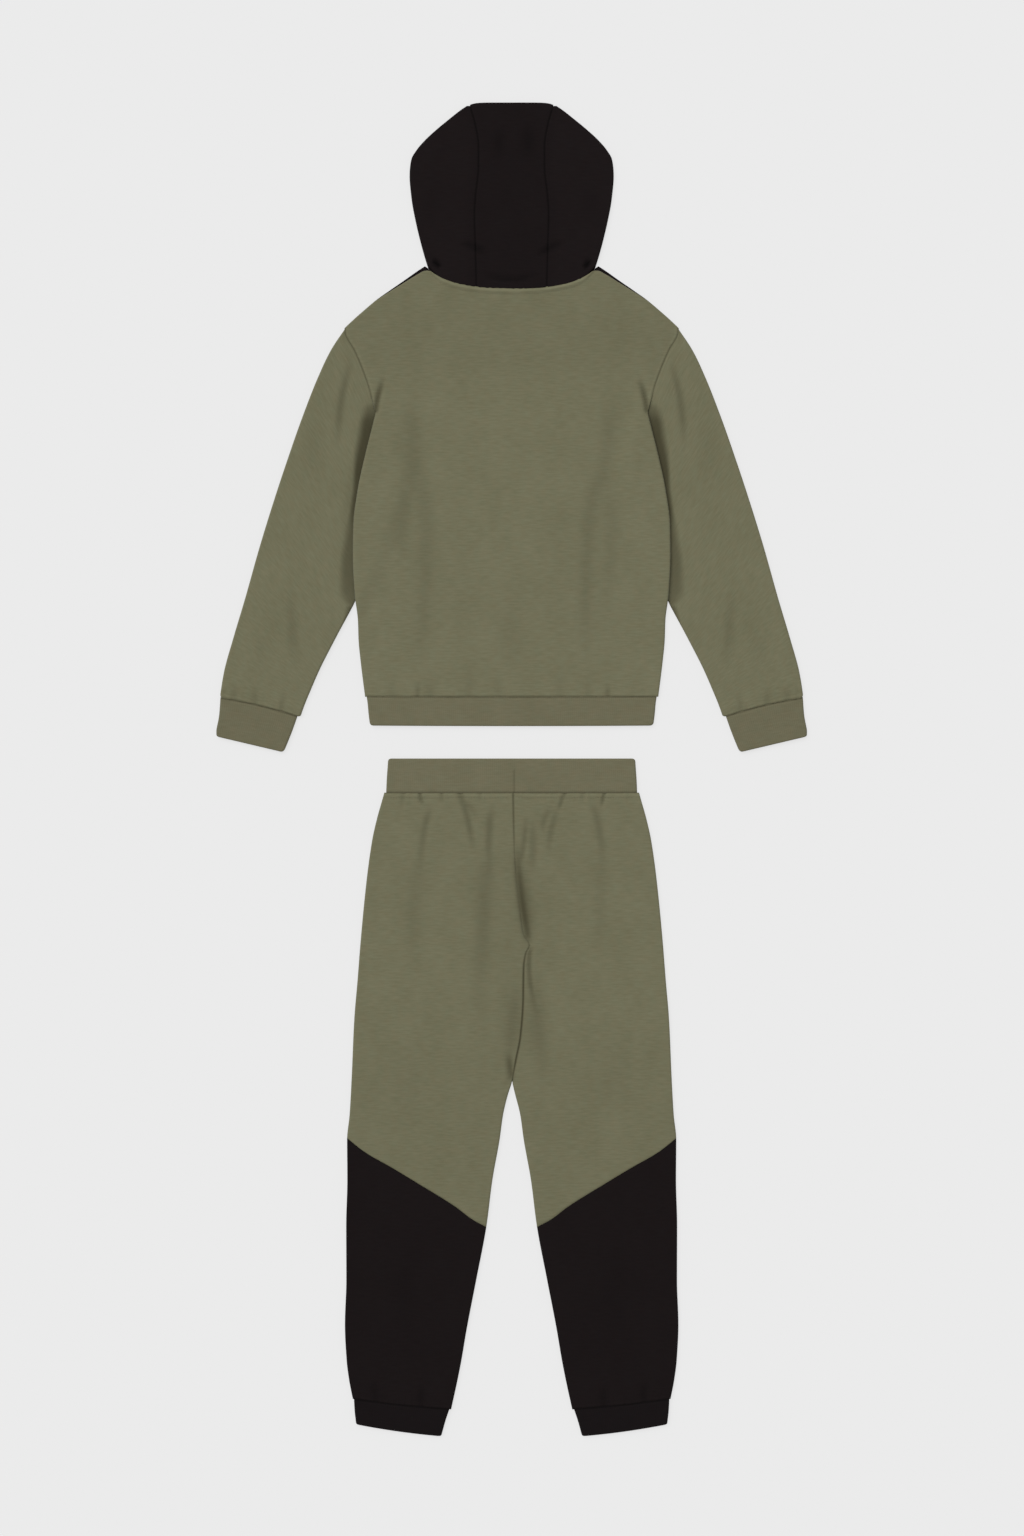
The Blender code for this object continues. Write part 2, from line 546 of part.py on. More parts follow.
def leg_surface(side, share, y):
    """A leg's back over rows of places that run from its inner to its outer edge.

    The outer edge rolls down. So does the inner edge below the crotch; above it lies beside the other leg.
    """
    inner = leg_inner_x(y[:, :1], side) + SEAM_GAP / 2
    width = leg_outer_x(y[:, -1:]) - inner
    x = side * (inner + width * share)
    height = np.clip(BACK_TOP + creases(x, y, WAIST_GATHERS + LEG_CREASES), LOWEST_TOP, HIGHEST_TOP)
    inseam = ease((CROTCH_BOTTOM_Y + INSEAM_ROLL_START - y) / INSEAM_ROLL_START)
    drop = np.maximum(roll((1 - share) * width), roll(share * width) * inseam)
    return np.stack([x, y, height - (height - SIDE_RIM_TOP) * drop], axis=2)


def leg_back_points(side, columns):
    """Rows of a leg's back from the waist seam to the slanting seam above the shin."""
    share = edge_shares(columns, LEG_WIDTH)
    level = np.repeat(np.array(LEG_ROWS)[:, None], len(share), axis=1)
    seam = seam_across(BLOCK_SEAM, share) + SEAM_GAP / 2 + EDGE_SETBACK * roll(share * LEG_WIDTH)
    slanting = CROTCH_BOTTOM_Y + (seam - CROTCH_BOTTOM_Y) * np.array(BLOCK_STEPS)[:, None]
    return leg_surface(side, share, np.vstack([level, slanting]))


def shin_back_points(side):
    """Rows of a lower leg's back from the slanting seam to the ankle seam."""
    share = edge_shares(SEAM_COLUMNS, LEG_WIDTH)
    start = seam_across(BLOCK_SEAM, share) - SEAM_GAP / 2 - EDGE_SETBACK * roll((1 - share) * LEG_WIDTH)
    end = seam_across(ANKLE_SEAM, share) + SEAM_GAP / 2
    return leg_surface(side, share, start + (end - start) * np.linspace(0, 1, SHIN_ROWS)[:, None])


def between(rows, high, low):
    """The rows of a table that lie between two heights on the leg."""
    return [row for row in rows if low < row.y < high]


def leg_front_outline(side):
    """A leg's front: down the middle, the inseam, up the slanting seam and the outer edge."""
    middle = [(SEAM_GAP / 2, WAIST_SEAM_Y), (SEAM_GAP / 2, CROTCH_BOTTOM_Y)]
    inseam = [(row.x, row.y) for row in between(INSEAM, CROTCH_BOTTOM_Y, BLOCK_SEAM[0].y)]
    seam = [(min(row.x, leg_outer_x(row.y)), row.y + SEAM_GAP / 2) for row in BLOCK_SEAM]
    outer = [(row.x, row.y) for row in between(LEG_OUTER, WAIST_SEAM_Y + SEAM_GAP, BLOCK_SEAM[-1].y)]
    return [(side * float(x), float(y)) for x, y in middle + inseam + seam + outer[::-1]]


def shin_front_outline(side):
    """A lower leg's front: along the slanting seam, down the outer edge, and back up the inseam."""
    seam = [(min(row.x, leg_outer_x(row.y)), row.y - SEAM_GAP / 2) for row in BLOCK_SEAM]
    outer = [(row.x, row.y) for row in between(LEG_OUTER, BLOCK_SEAM[-1].y, ANKLE_SEAM[-1].y)]
    ankle = [(row.x, row.y + SEAM_GAP / 2) for row in reversed(ANKLE_SEAM)]
    inseam = [(row.x, row.y) for row in between(INSEAM, BLOCK_SEAM[0].y, ANKLE_SEAM[0].y)]
    return [(side * float(x), float(y)) for x, y in seam + outer + ankle + inseam[::-1]]


def build_sweatshirt(garment):
    """Front, back, sleeves, cuffs, hem band and three-panel hood."""
    plate(garment, "front", BLACK_JERSEY, front_outline())
    cloth(garment, "back", OLIVE_JERSEY, back_points(), JERSEY, turned=True)
    cloth(garment, "hem_rib", OLIVE_RIB, band_points(HEM_RIB, WIDE_BAND_COLUMNS), RIB, ring=True)
    cloth(garment, "hood_centre", BLACK_JERSEY, hood_strip_points(), JERSEY, turned=True)
    pairs = [
        ("sleeve", OLIVE_JERSEY, sleeve_points(), JERSEY, True),
        ("cuff", OLIVE_RIB, band_points(CUFF, SMALL_BAND_COLUMNS), RIB, True),
    ]
    for name, coat, points, wall, ring in pairs:
        cloth(garment, name + "_right", coat, points, wall, ring=ring)
        cloth(garment, name + "_left", coat, mirrored(points), wall, ring=ring, turned=True)
    hood = hood_side_points()
    cloth(garment, "hood_right", BLACK_JERSEY, hood, JERSEY, turned=True)
    cloth(garment, "hood_left", BLACK_JERSEY, mirrored(hood), JERSEY)


def build_joggers(garment):
    """Waistband, upper and lower leg pieces, and ankle bands."""
    cloth(garment, "waistband", OLIVE_RIB, band_points(WAISTBAND, WIDE_BAND_COLUMNS), RIB, ring=True)
    ankle = band_points(ANKLE_RIB, SMALL_BAND_COLUMNS)
    for word, side, columns in (("left", -1, LEFT_LEG_COLUMNS), ("right", 1, RIGHT_LEG_COLUMNS)):
        turned = side > 0
        plate(garment, "leg_front_" + word, OLIVE_JERSEY, leg_front_outline(side))
        plate(garment, "shin_front_" + word, BLACK_JERSEY, shin_front_outline(side))
        cloth(garment, "leg_back_" + word, OLIVE_JERSEY, leg_back_points(side, columns), JERSEY, turned=turned)
        cloth(garment, "shin_back_" + word, BLACK_JERSEY, shin_back_points(side), JERSEY, turned=turned)
        rings = ankle * np.array([side, 1, 1])
        cloth(garment, "ankle_rib_" + word, BLACK_RIB, rings, RIB, ring=True, turned=not turned)


def main():
    for old in list(bpy.data.objects):
        bpy.data.objects.remove(old, do_unlink=True)
    garment = bpy.data.collections.new("tracksuit")
    bpy.context.scene.collection.children.link(garment)
    build_sweatshirt(garment)
    build_joggers(garment)


main()
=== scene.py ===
"""Looks of the laid-out sweatshirt and joggers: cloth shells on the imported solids, sewing, floor and light.

Metres, +Z up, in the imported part's frame: x runs across the set, y up it from the ankles to the hood, and it
lies on z = 0. Each cloth piece is a grid of points over its solid's form, with finer folds and sewing.
"""
from collections import namedtuple

import bpy
import numpy as np
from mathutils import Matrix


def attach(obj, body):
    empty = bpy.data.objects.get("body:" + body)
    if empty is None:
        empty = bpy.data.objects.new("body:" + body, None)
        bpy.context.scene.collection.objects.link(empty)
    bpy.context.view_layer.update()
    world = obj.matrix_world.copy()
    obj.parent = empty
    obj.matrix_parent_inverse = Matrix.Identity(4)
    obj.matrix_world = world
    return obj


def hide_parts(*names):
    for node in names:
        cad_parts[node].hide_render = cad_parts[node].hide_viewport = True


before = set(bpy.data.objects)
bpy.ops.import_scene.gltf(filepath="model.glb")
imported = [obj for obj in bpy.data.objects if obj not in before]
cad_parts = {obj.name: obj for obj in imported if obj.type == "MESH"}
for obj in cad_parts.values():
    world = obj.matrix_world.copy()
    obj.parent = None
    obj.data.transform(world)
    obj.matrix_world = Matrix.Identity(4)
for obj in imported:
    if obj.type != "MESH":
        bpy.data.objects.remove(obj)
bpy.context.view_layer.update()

# Cloth
JERSEY = 0.0014
FRONT_JERSEY = 0.0018
RIB = 0.0020
SEAM_LAP = 0.0003
HIDDEN_MARGIN = 0.0004
NECK_LAP = 0.0010
NECK_LAP_END = 0.0860
NECK_LAP_FADE = 0.0060

# Heights of the upper face
BACK_TOP = 0.0050
SEAM_TOP = 0.0041
FOLD_TOP = 0.0080
SLEEVE_TOP = 0.0055
VALLEY_TOP = 0.0029
HOOD_TOP = 0.0056
BAND_TOP = 0.0056
LOWEST_TOP = 0.0032
HIGHEST_TOP = 0.0070

# Rolled edges
ROLL_WIDTH = 0.0026
RIM_HEIGHT = 0.0013
SIDE_RIM_TOP = FRONT_JERSEY + RIM_HEIGHT
FOLD_RIM_TOP = SEAM_TOP + RIM_HEIGHT
TUBE_EDGE_DROP = 0.5
BAND_END_DROP = 0.0014
BAND_SEAM_DROP = 0.0016
BAND_SEAM_WIDTH = 0.0020
ROLL_FADE = 0.0120
SHOULDER_ROLL_START = 0.0980
SHOULDER_ROLL_RISE = 0.0060
SHOULDER_ROLL_END = 0.1990
SHOULDER_ROLL_FALL = 0.0080

# The underarm, where the body folds over the sleeve
FOLD_START_X = 0.1630
FOLD_START_Y = 0.4290
FOLD_RISE = 0.0300
FOLD_END_Y = 0.1950
FOLD_FALL = 0.0200
FOLD_SLOPE = 0.0250
FOLD_LEAD = 0.0010
UNDERARM_X = 0.1364
UNDERARM_Y = 0.3588
ARMHOLE_DIP_WIDTH = 0.0160
ARMHOLE_BLEND = 0.0450
VALLEY_START = 0.0120
VALLEY_WIDTH = 0.0170

# Where one piece ends and the next begins
SHOULDER_WIDTH = 0.2002
NECK_WIDTH = 0.1018
HOOD_TOP_Y = 0.8004
HOOD_CORNER_DROP = 0.0028
HOOD_CORNER_POWER = 8
HOOD_MOUTH_GAP = 0.0005
HOOD_STRIP_NECK = 0.0422
YOKE_Y = 0.5021
HEM_SEAM_Y = 0.0868
HEM_SAG = 0.0006
CUFF_SAG = -0.0022
BACK_SEAM_X = 0.0028
BACK_SEAM_TOP_Y = 0.0020
BACK_SEAM_FADE = 0.0060
SEAM_LINE_AWAY = 0.0010
WAIST_SEAM_Y = -0.0284
CROTCH_BOTTOM_Y = -0.3780
LEG_WIDTH = 0.1700
INSEAM_ROLL_START = 0.0200
SLANT_COSINE = 0.866

# Sewing
SEAM_DIP = 0.0009
NECK_LIP = 0.0009
NECK_LIP_AWAY = 0.0030
NECK_LIP_WIDTH = 0.0022
SEAM_DIP_WIDTH = 0.0013
STITCH_AWAY = 0.0062
STITCH_DIP = 0.0003
STITCH_DIP_WIDTH = 0.0012
STITCH_PITCH = 0.0032
STITCH_LENGTH = 0.0025
THREAD_RADIUS = 0.00022
STITCH_SIDES = 6
STITCH_END = 0.04
STITCH_RINGS = np.array([-1, -0.75, 0, 0.75, 1])
STITCH_PATH_POINTS = 120
NECK_STITCH_END = 0.0880
WAIST_STITCH_ENDS = (("left", -0.1480, -0.0020), ("right", 0.0060, 0.1480))

# Painted shade, which stands for the light that creases lose: from 0 in the open to 1 where a fold is darkest;
# it darkens the colour toward the look's fold colour
FULL_SHADE_DEPTH = 0.0058
SEAM_SHADE = 0.42
SEAM_SHADE_WIDTH = 0.0009
MIDDLE_LINE_WIDTH = 0.0019
YOKE_SHADE = 0.07
YOKE_SHADE_Y = 0.4300
YOKE_SHADE_FADE = 0.0800
OPEN_SHADE = 0.10
# How far a painted highlight beside a seam lightens the colour
LIP_LIGHT = 0.11
LEG_SHADE = 0.02
LOW_LEG_SHADE = 0.05
LOW_LEG_Y = -0.2400
LOW_LEG_FADE = 0.1800
SLEEVE_SHADE = 0.02
CUFF_SHADE = 0.05
WAISTBAND_SHADE = -0.03
HOOD_SEAM_TO_SIDE = 0.0150
HIGHLIGHT_WIDTH = 0.0015

# Shares of a full seam's dip or painted shade line, where a seam is fainter
BACK_SEAM_DIP = 0.5
BACK_SEAM_LINE = 0.8
HOOD_NECK_DIP = 0.5
BLOCK_DIP = 0.7
BLOCK_LINE = 0.5

# Unevenness of loose cloth: its height, and a seed for each piece
BACK_WAVER = 0.00025
LOOSE_WAVER = 0.0003
BAND_WAVER = 0.00015
WAVES_PEAK = 3
BACK_SEED, SLEEVE_SEED, HOOD_SEED, LEG_SEED = 1.0, 2.0, 3.0, 4.0
HEM_SEED, CUFF_SEED, WAIST_SEED, ANKLE_SEED = 5.0, 6.0, 7.0, 8.0

# Puckers: their second wave, and how they swell and sink along a seam
SECOND_HEIGHT = 0.7
SECOND_PITCH = 0.63
SWELL_LEVEL = 0.6
SWELL_HEIGHT = 0.4
SWELL_PITCH = 4.7
CUFF_PUFF = 0.0009
CUFF_PUFF_AWAY = 0.0120
CUFF_PUFF_WIDTH = 0.0090

# Grids: the close rows beside an edge, and the spacing elsewhere
EDGE_ROWS = np.array([0, 0.0003, 0.0007, 0.0012, 0.0018, 0.0026, 0.0036, 0.0048, 0.0062, 0.0078])
COLUMN_PITCH = 0.0020
LEG_COLUMN_PITCH = 0.0018
ROW_PITCH = 0.0036
HIDDEN_PITCH = 0.0120
FRONT_YOKE_STEP = 0.08
FLAT_LEG_ROWS = 60
FOLD_STEPS = 9
TINY = 1e-6

Edge = namedtuple("Edge", "y x")
Across = namedtuple("Across", "x y")
TubeRow = namedtuple("TubeRow", "outer_x outer_y inner_x inner_y sag")
Corner = namedtuple("Corner", "first last")
Shade = namedtuple("Shade", "y middle reach depth")
SeamShade = namedtuple("SeamShade", "y depth")
Wave = namedtuple("Wave", "x y phase height")
Pucker = namedtuple("Pucker", "pitch reach height seed")
Highlight = namedtuple("Highlight", "light away")
Fold = namedtuple("Fold", "x y bend_x bend_y end_x end_y width rise start fade")

HOOD_SIDE = [
    Edge(0.7956, 0.0545), Edge(0.7908, 0.0616), Edge(0.7788, 0.0768), Edge(0.7668, 0.0913),
    Edge(0.7548, 0.1042), Edge(0.7428, 0.1144), Edge(0.7308, 0.1208), Edge(0.7116, 0.1226),
    Edge(0.6828, 0.1200), Edge(0.6588, 0.1156), Edge(0.6348, 0.1100), Edge(0.6168, 0.1051),
    Edge(0.6058, 0.1018),
]
HOOD_SEAM = [
    Edge(0.7968, 0.0498), Edge(0.7896, 0.0480), Edge(0.7752, 0.0440), Edge(0.7476, 0.0396),
    Edge(0.7236, 0.0396), Edge(0.6876, 0.0432), Edge(0.6648, 0.0446), Edge(0.6276, 0.0434),
    Edge(0.5784, HOOD_STRIP_NECK),
]
HOOD_NECK = [
    Across(0.0000, 0.5760), Across(0.0308, 0.5773), Across(0.0625, 0.5819), Across(0.0844, 0.5892),
    Across(0.0924, 0.5954), Across(0.0983, 0.6019), Across(NECK_WIDTH, 0.6058),
]
FRONT_NECK = [
    Across(0.0000, 0.5208), Across(0.0300, 0.5244), Across(0.0600, 0.5412), Across(0.0840, 0.5664),
    Across(0.0960, 0.5904), Across(NECK_WIDTH, 0.6058),
]
FRONT_SHOULDER = [
    Across(0.1028, 0.6046), Across(0.1118, 0.5988), Across(0.1288, 0.5868), Across(0.1462, 0.5748),
    Across(0.1631, 0.5628), Across(0.1769, 0.5508), Across(0.1903, 0.5388), Across(SHOULDER_WIDTH, 0.5292),
]
BACK_TOP_EDGE = [
    Across(0.0000, 0.5756), Across(0.0308, 0.5769), Across(0.0625, 0.5814), Across(0.0844, 0.5886),
    Across(0.0924, 0.5942), Across(0.0991, 0.5980), Across(0.1032, 0.5984), Across(0.1118, 0.5944),
    Across(0.1288, 0.5840), Across(0.1462, 0.5732), Across(0.1631, 0.5622), Across(0.1769, 0.5507),
    Across(0.1903, 0.5388), Across(SHOULDER_WIDTH, 0.5292),
]
BODY_SIDE = [
    Edge(0.5292, SHOULDER_WIDTH), Edge(0.5244, 0.2000), Edge(YOKE_Y, 0.1886), Edge(0.4728, 0.1764),
    Edge(0.4506, 0.1691), Edge(0.4320, 0.1637), Edge(FOLD_START_Y, FOLD_START_X), Edge(0.4164, 0.1658),
    Edge(0.3804, 0.1748), Edge(0.3360, 0.1844), Edge(0.2940, 0.1898), Edge(0.2568, 0.1904),
    Edge(0.2076, 0.1880), Edge(0.1980, 0.1866), Edge(0.1788, 0.1843), Edge(0.1548, 0.1835),
    Edge(0.1308, 0.1812), Edge(0.1068, 0.1783), Edge(HEM_SEAM_Y, 0.1757),
]
SLEEVE = [
    TubeRow(0.2004, 0.5290, UNDERARM_X, UNDERARM_Y, 0), TubeRow(0.2166, 0.5040, 0.1398, 0.3384, 0),
    TubeRow(0.2330, 0.4692, 0.1458, 0.3156, 0), TubeRow(0.2544, 0.4140, 0.1592, 0.2748, 0),
    TubeRow(0.2694, 0.3708, 0.1724, 0.2376, 0), TubeRow(0.2814, 0.3348, 0.1878, 0.2016, 0),
    TubeRow(0.3018, 0.2694, 0.2106, 0.1584, 0), TubeRow(0.3206, 0.2028, 0.2302, 0.1200, 0),
    TubeRow(0.3342, 0.1572, 0.2412, 0.0948, 0), TubeRow(0.3454, 0.1164, 0.2486, 0.0768, -0.0010),
    TubeRow(0.3505, 0.0852, 0.2537, 0.0624, CUFF_SAG),
]
CUFF = [
    TubeRow(0.3496, 0.0862, 0.2571, 0.0634, CUFF_SAG), TubeRow(0.3512, 0.0648, 0.2625, 0.0480, CUFF_SAG / 2),
    TubeRow(0.3546, 0.0456, 0.2681, 0.0336, 0), TubeRow(0.3544, 0.0390, 0.2738, 0.0200, 0),
]
HEM_RIB = [
    TubeRow(0.1742, 0.0874, -0.1742, 0.0874, HEM_SAG), TubeRow(0.1730, 0.0792, -0.1730, 0.0792, HEM_SAG),
    TubeRow(0.1718, 0.0660, -0.1718, 0.0660, HEM_SAG), TubeRow(0.1700, 0.0521, -0.1700, 0.0521, HEM_SAG),
]
WAISTBAND = [
    TubeRow(0.1483, 0.0126, -0.1483, 0.0126, 0), TubeRow(0.1487, 0.0060, -0.1487, 0.0060, 0),
    TubeRow(0.1492, -0.0012, -0.1492, -0.0012, 0), TubeRow(0.1501, -0.0144, -0.1501, -0.0144, 0),
    TubeRow(0.1507, -0.0294, -0.1507, -0.0294, 0),
]
ANKLE_RIB = [
    TubeRow(0.1894, -0.7554, 0.0745, -0.7678, 0.0010), TubeRow(0.1886, -0.7700, 0.0790, -0.7810, 0.0012),
    TubeRow(0.1867, -0.7867, 0.0846, -0.8010, 0.0014),
]
LEG_OUTER = [
    Edge(WAIST_SEAM_Y, 0.1529), Edge(-0.0372, 0.1554), Edge(-0.0612, 0.1621), Edge(-0.0852, 0.1674),
    Edge(-0.1332, 0.1741), Edge(-0.2052, 0.1812), Edge(-0.2532, 0.1850), Edge(-0.3012, 0.1890),
    Edge(-0.3732, 0.1922), Edge(-0.4152, 0.1946), Edge(-0.4452, 0.1976), Edge(-0.4932, 0.1973),
    Edge(-0.5484, 0.1987), Edge(-0.6132, 0.1985), Edge(-0.6672, 0.2002), Edge(-0.7092, 0.1982),
    Edge(-0.7332, 0.1952), Edge(-0.7568, 0.1906),
]
MIDDLE_SEAM = [
    Edge(WAIST_SEAM_Y, 0.0018), Edge(-0.0792, 0.0030), Edge(-0.1236, 0.0056), Edge(-0.1632, 0.0100),
    Edge(-0.1974, 0.0142), Edge(-0.2118, 0.0215), Edge(-0.2208, 0.0172), Edge(-0.2376, 0.0145),
    Edge(-0.2808, 0.0137), Edge(-0.3228, 0.0103), Edge(-0.3504, 0.0049), Edge(-0.3732, 0.0009),
]
INSEAM = [
    Edge(-0.3852, 0.0032), Edge(-0.4152, 0.0106), Edge(-0.4452, 0.0148), Edge(-0.4932, 0.0234),
    Edge(-0.5484, 0.0305), Edge(-0.6132, 0.0428), Edge(-0.6732, 0.0544), Edge(-0.7092, 0.0605),
    Edge(-0.7332, 0.0652), Edge(-0.7692, 0.0731),
]
BLOCK_SEAM = [
    Across(0.0300, -0.5496), Across(0.0476, -0.5400), Across(0.0668, -0.5256), Across(0.1136, -0.4968),
    Across(0.1436, -0.4788), Across(0.1772, -0.4596), Across(0.1980, -0.4432),
]
ANKLE_SEAM = [
    Across(0.0731, -0.7684), Across(0.1160, -0.7651), Across(0.1568, -0.7608), Across(0.1906, -0.7558),
]

SLEEVE_CORNERS = Corner(TINY, 0.0040)
CUFF_CORNERS = Corner(TINY, 0.0034)
HEM_CORNERS = Corner(TINY, 0.0038)
WAIST_CORNERS = Corner(0.0036, TINY)
ANKLE_CORNERS = Corner(TINY, 0.0020)

# Painted shade down the joggers' middle seam, where one leg lies over the other: its depth at each height
MIDDLE_SEAM_SHADE = [
    SeamShade(WAIST_SEAM_Y, 0.62), SeamShade(-0.0700, 0.55), SeamShade(-0.1000, 0.28), SeamShade(-0.1300, 0.10),
    SeamShade(-0.1950, 0.12), SeamShade(-0.2100, 0.55), SeamShade(-0.2500, 0.95), SeamShade(-0.3200, 1.00),
    SeamShade(-0.3600, 1.00), SeamShade(-0.3732, 0.90),
]
# Painted shadow of the body's fold on the sleeves: at each height, the middle distance from the edge, the
# reach of its fall-off and its depth
FOLD_SHADOW_ROWS = [
    Shade(0.4400, 0.0110, 0.0080, 0.00), Shade(0.4356, 0.0125, 0.0085, 0.40),
    Shade(0.4284, 0.0158, 0.0080, 0.62), Shade(0.4164, 0.0154, 0.0070, 0.86),
    Shade(0.3996, 0.0134, 0.0070, 0.90), Shade(0.3804, 0.0124, 0.0060, 0.90),
    Shade(0.3588, 0.0092, 0.0036, 0.92), Shade(0.3360, 0.0060, 0.0034, 0.86),
    Shade(0.3108, 0.0052, 0.0034, 0.82), Shade(0.2868, 0.0080, 0.0065, 0.62),
    Shade(0.2508, 0.0142, 0.0060, 0.58), Shade(0.2268, 0.0165, 0.0070, 0.56),
    Shade(0.2148, 0.0175, 0.0080, 0.54), Shade(0.2040, 0.0150, 0.0100, 0.50),
    Shade(0.1980, 0.0090, 0.0090, 0.60), Shade(0.1932, 0.0060, 0.0050, 0.65),
    Shade(0.1884, 0.0045, 0.0045, 0.65), Shade(0.1812, 0.0030, 0.0030, 0.55),
    Shade(0.1740, 0.0020, 0.0020, 0.20), Shade(0.1680, 0.0020, 0.0020, 0.00),
]

WAVES = [Wave(31, 17, 1, 1), Wave(57, -23, 2.1, 1), Wave(83, 41, 3.7, 0.7), Wave(19, -71, 5.3, 0.5)]

HEM_PUCKERS = Pucker(0.0110, 0.0100, 0.00016, 1.3)
NECK_PUCKERS = Pucker(0.0080, 0.0080, 0.00010, 2.9)
CUFF_PUCKERS = Pucker(0.0120, 0.0120, 0.00022, 0.7)
HOOD_PUCKERS = Pucker(0.0130, 0.0060, 0.00008, 1.1)
WAIST_PUCKERS = Pucker(0.0090, 0.0120, 0.00022, 0.4)
ANKLE_PUCKERS = Pucker(0.0110, 0.0100, 0.00018, 1.9)

# Painted highlights beside seams: their strength and their distance from the seam
NECK_HIGHLIGHT = Highlight(1.6, 0.0016)
ARMHOLE_HIGHLIGHT = Highlight(0.8, 0.0030)
HEM_HIGHLIGHT = Highlight(0.4, 0.0028)
CUFF_HIGHLIGHT = Highlight(0.7, 0.0028)
WAIST_HIGHLIGHT = Highlight(1.0, 0.0027)
ANKLE_HIGHLIGHT = Highlight(0.5, 0.0027)

# A trough this broad keeps a share of its depth, to a tenth of a millimetre
BROAD_TROUGH = 0.0075
BROAD_SHARE = 0.72
DEPTH_DIGITS = 4

BACK_FOLDS = [
    Fold(-0.1250, 0.4560, -0.1160, 0.3900, -0.1130, 0.3250, 0.0110, -0.0013, 0.35, 0.25),
    Fold(-0.1150, 0.3560, -0.1290, 0.2950, -0.1300, 0.2300, 0.0100, -0.0009, 0.35, 0.35),
    Fold(-0.1130, 0.3500, -0.1010, 0.2800, -0.1120, 0.0950, 0.0110, -0.0011, 0.30, 0.25),
    Fold(0.1270, 0.4500, 0.1160, 0.3850, 0.1120, 0.3250, 0.0110, -0.0011, 0.35, 0.25),
    Fold(0.1120, 0.3560, 0.0930, 0.2800, 0.0920, 0.1000, 0.0100, -0.0012, 0.30, 0.25),
    Fold(0.1150, 0.3500, 0.1220, 0.2800, 0.1070, 0.1500, 0.0095, -0.0009, 0.35, 0.35),
    Fold(-0.0600, 0.3000, -0.0630, 0.2200, -0.0600, 0.1300, 0.0220, -0.0003, 0.50, 0.50),
    Fold(0.0480, 0.3300, 0.0530, 0.2300, 0.0500, 0.1500, 0.0200, -0.0003, 0.50, 0.50),
    Fold(0.0020, 0.2600, 0.0000, 0.1700, 0.0020, 0.0950, 0.0150, -0.0006, 0.50, 0.30),
    Fold(-0.1496, 0.4740, -0.1580, 0.4548, -0.1628, 0.4300, 0.0030, -0.0036, 0.70, 0.00),
    Fold(0.1490, 0.4740, 0.1576, 0.4548, 0.1626, 0.4300, 0.0030, -0.0034, 0.70, 0.00),
    Fold(-0.1124, 0.0868, -0.1120, 0.0960, -0.1110, 0.1080, 0.0030, -0.0013, 0.00, 0.70),
    Fold(0.1163, 0.0868, 0.1160, 0.0950, 0.1155, 0.1060, 0.0030, -0.0012, 0.00, 0.70),
    Fold(-0.1440, 0.0868, -0.1430, 0.0990, -0.1420, 0.1150, 0.0060, -0.0006, 0.00, 0.80),
    Fold(-0.0980, 0.0868, -0.0970, 0.1050, -0.0960, 0.1300, 0.0070, -0.0006, 0.00, 0.80),
    Fold(-0.0510, 0.0868, -0.0500, 0.1080, -0.0510, 0.1360, 0.0070, -0.0006, 0.00, 0.80),
    Fold(-0.0130, 0.0868, -0.0140, 0.1020, -0.0130, 0.1220, 0.0060, -0.0005, 0.00, 0.80),
    Fold(0.0580, 0.0868, 0.0590, 0.1080, 0.0600, 0.1380, 0.0070, -0.0006, 0.00, 0.80),
    Fold(0.0940, 0.0868, 0.0930, 0.1050, 0.0940, 0.1300, 0.0060, -0.0005, 0.00, 0.80),
]
SLEEVE_FOLDS = [
    Fold(0.1876, 0.5020, 0.2046, 0.4330, 0.2068, 0.3640, 0.0042, -0.0017, 0.35, 0.55),
    Fold(0.2330, 0.4300, 0.2360, 0.3800, 0.2440, 0.3200, 0.0150, -0.0005, 0.50, 0.50),
    Fold(0.2120, 0.3300, 0.2200, 0.2900, 0.2340, 0.2300, 0.0110, 0.0006, 0.50, 0.50),
    Fold(0.2660, 0.2200, 0.2620, 0.1700, 0.2600, 0.1150, 0.0065, -0.0009, 0.40, 0.40),
    Fold(0.2960, 0.1750, 0.2980, 0.1400, 0.2950, 0.0950, 0.0090, -0.0006, 0.50, 0.50),
    Fold(0.2760, 0.0690, 0.2740, 0.0820, 0.2700, 0.1000, 0.0045, -0.0010, 0.00, 0.70),
    Fold(0.3080, 0.0765, 0.3070, 0.0880, 0.3050, 0.1050, 0.0045, -0.0008, 0.00, 0.70),
    Fold(0.3330, 0.0820, 0.3310, 0.0930, 0.3280, 0.1060, 0.0040, -0.0008, 0.00, 0.70),
]
HOOD_FOLDS = [
    Fold(-0.0960, 0.6110, -0.0900, 0.6066, -0.0845, 0.6003, 0.0030, -0.0046, 0.35, 0.35),
    Fold(0.0940, 0.6110, 0.0905, 0.6056, 0.0862, 0.6000, 0.0030, -0.0046, 0.35, 0.35),
    Fold(-0.0660, 0.6300, -0.0450, 0.6265, -0.0270, 0.6140, 0.0038, -0.0018, 0.35, 0.35),
    Fold(0.0670, 0.6310, 0.0460, 0.6255, 0.0300, 0.6140, 0.0038, -0.0018, 0.35, 0.35),
    Fold(-0.0380, 0.5970, -0.0020, 0.5875, 0.0350, 0.5960, 0.0034, -0.0015, 0.30, 0.30),
    Fold(-0.0140, 0.7760, -0.0150, 0.7500, -0.0110, 0.7240, 0.0080, -0.0016, 0.40, 0.50),
    Fold(0.0190, 0.7760, 0.0200, 0.7500, 0.0180, 0.7240, 0.0080, -0.0016, 0.40, 0.50),
    Fold(-0.0900, 0.7100, -0.0920, 0.6800, -0.0870, 0.6450, 0.0120, -0.0006, 0.50, 0.50),
    Fold(0.0900, 0.7050, 0.0930, 0.6780, 0.0860, 0.6450, 0.0120, -0.0006, 0.50, 0.50),
]
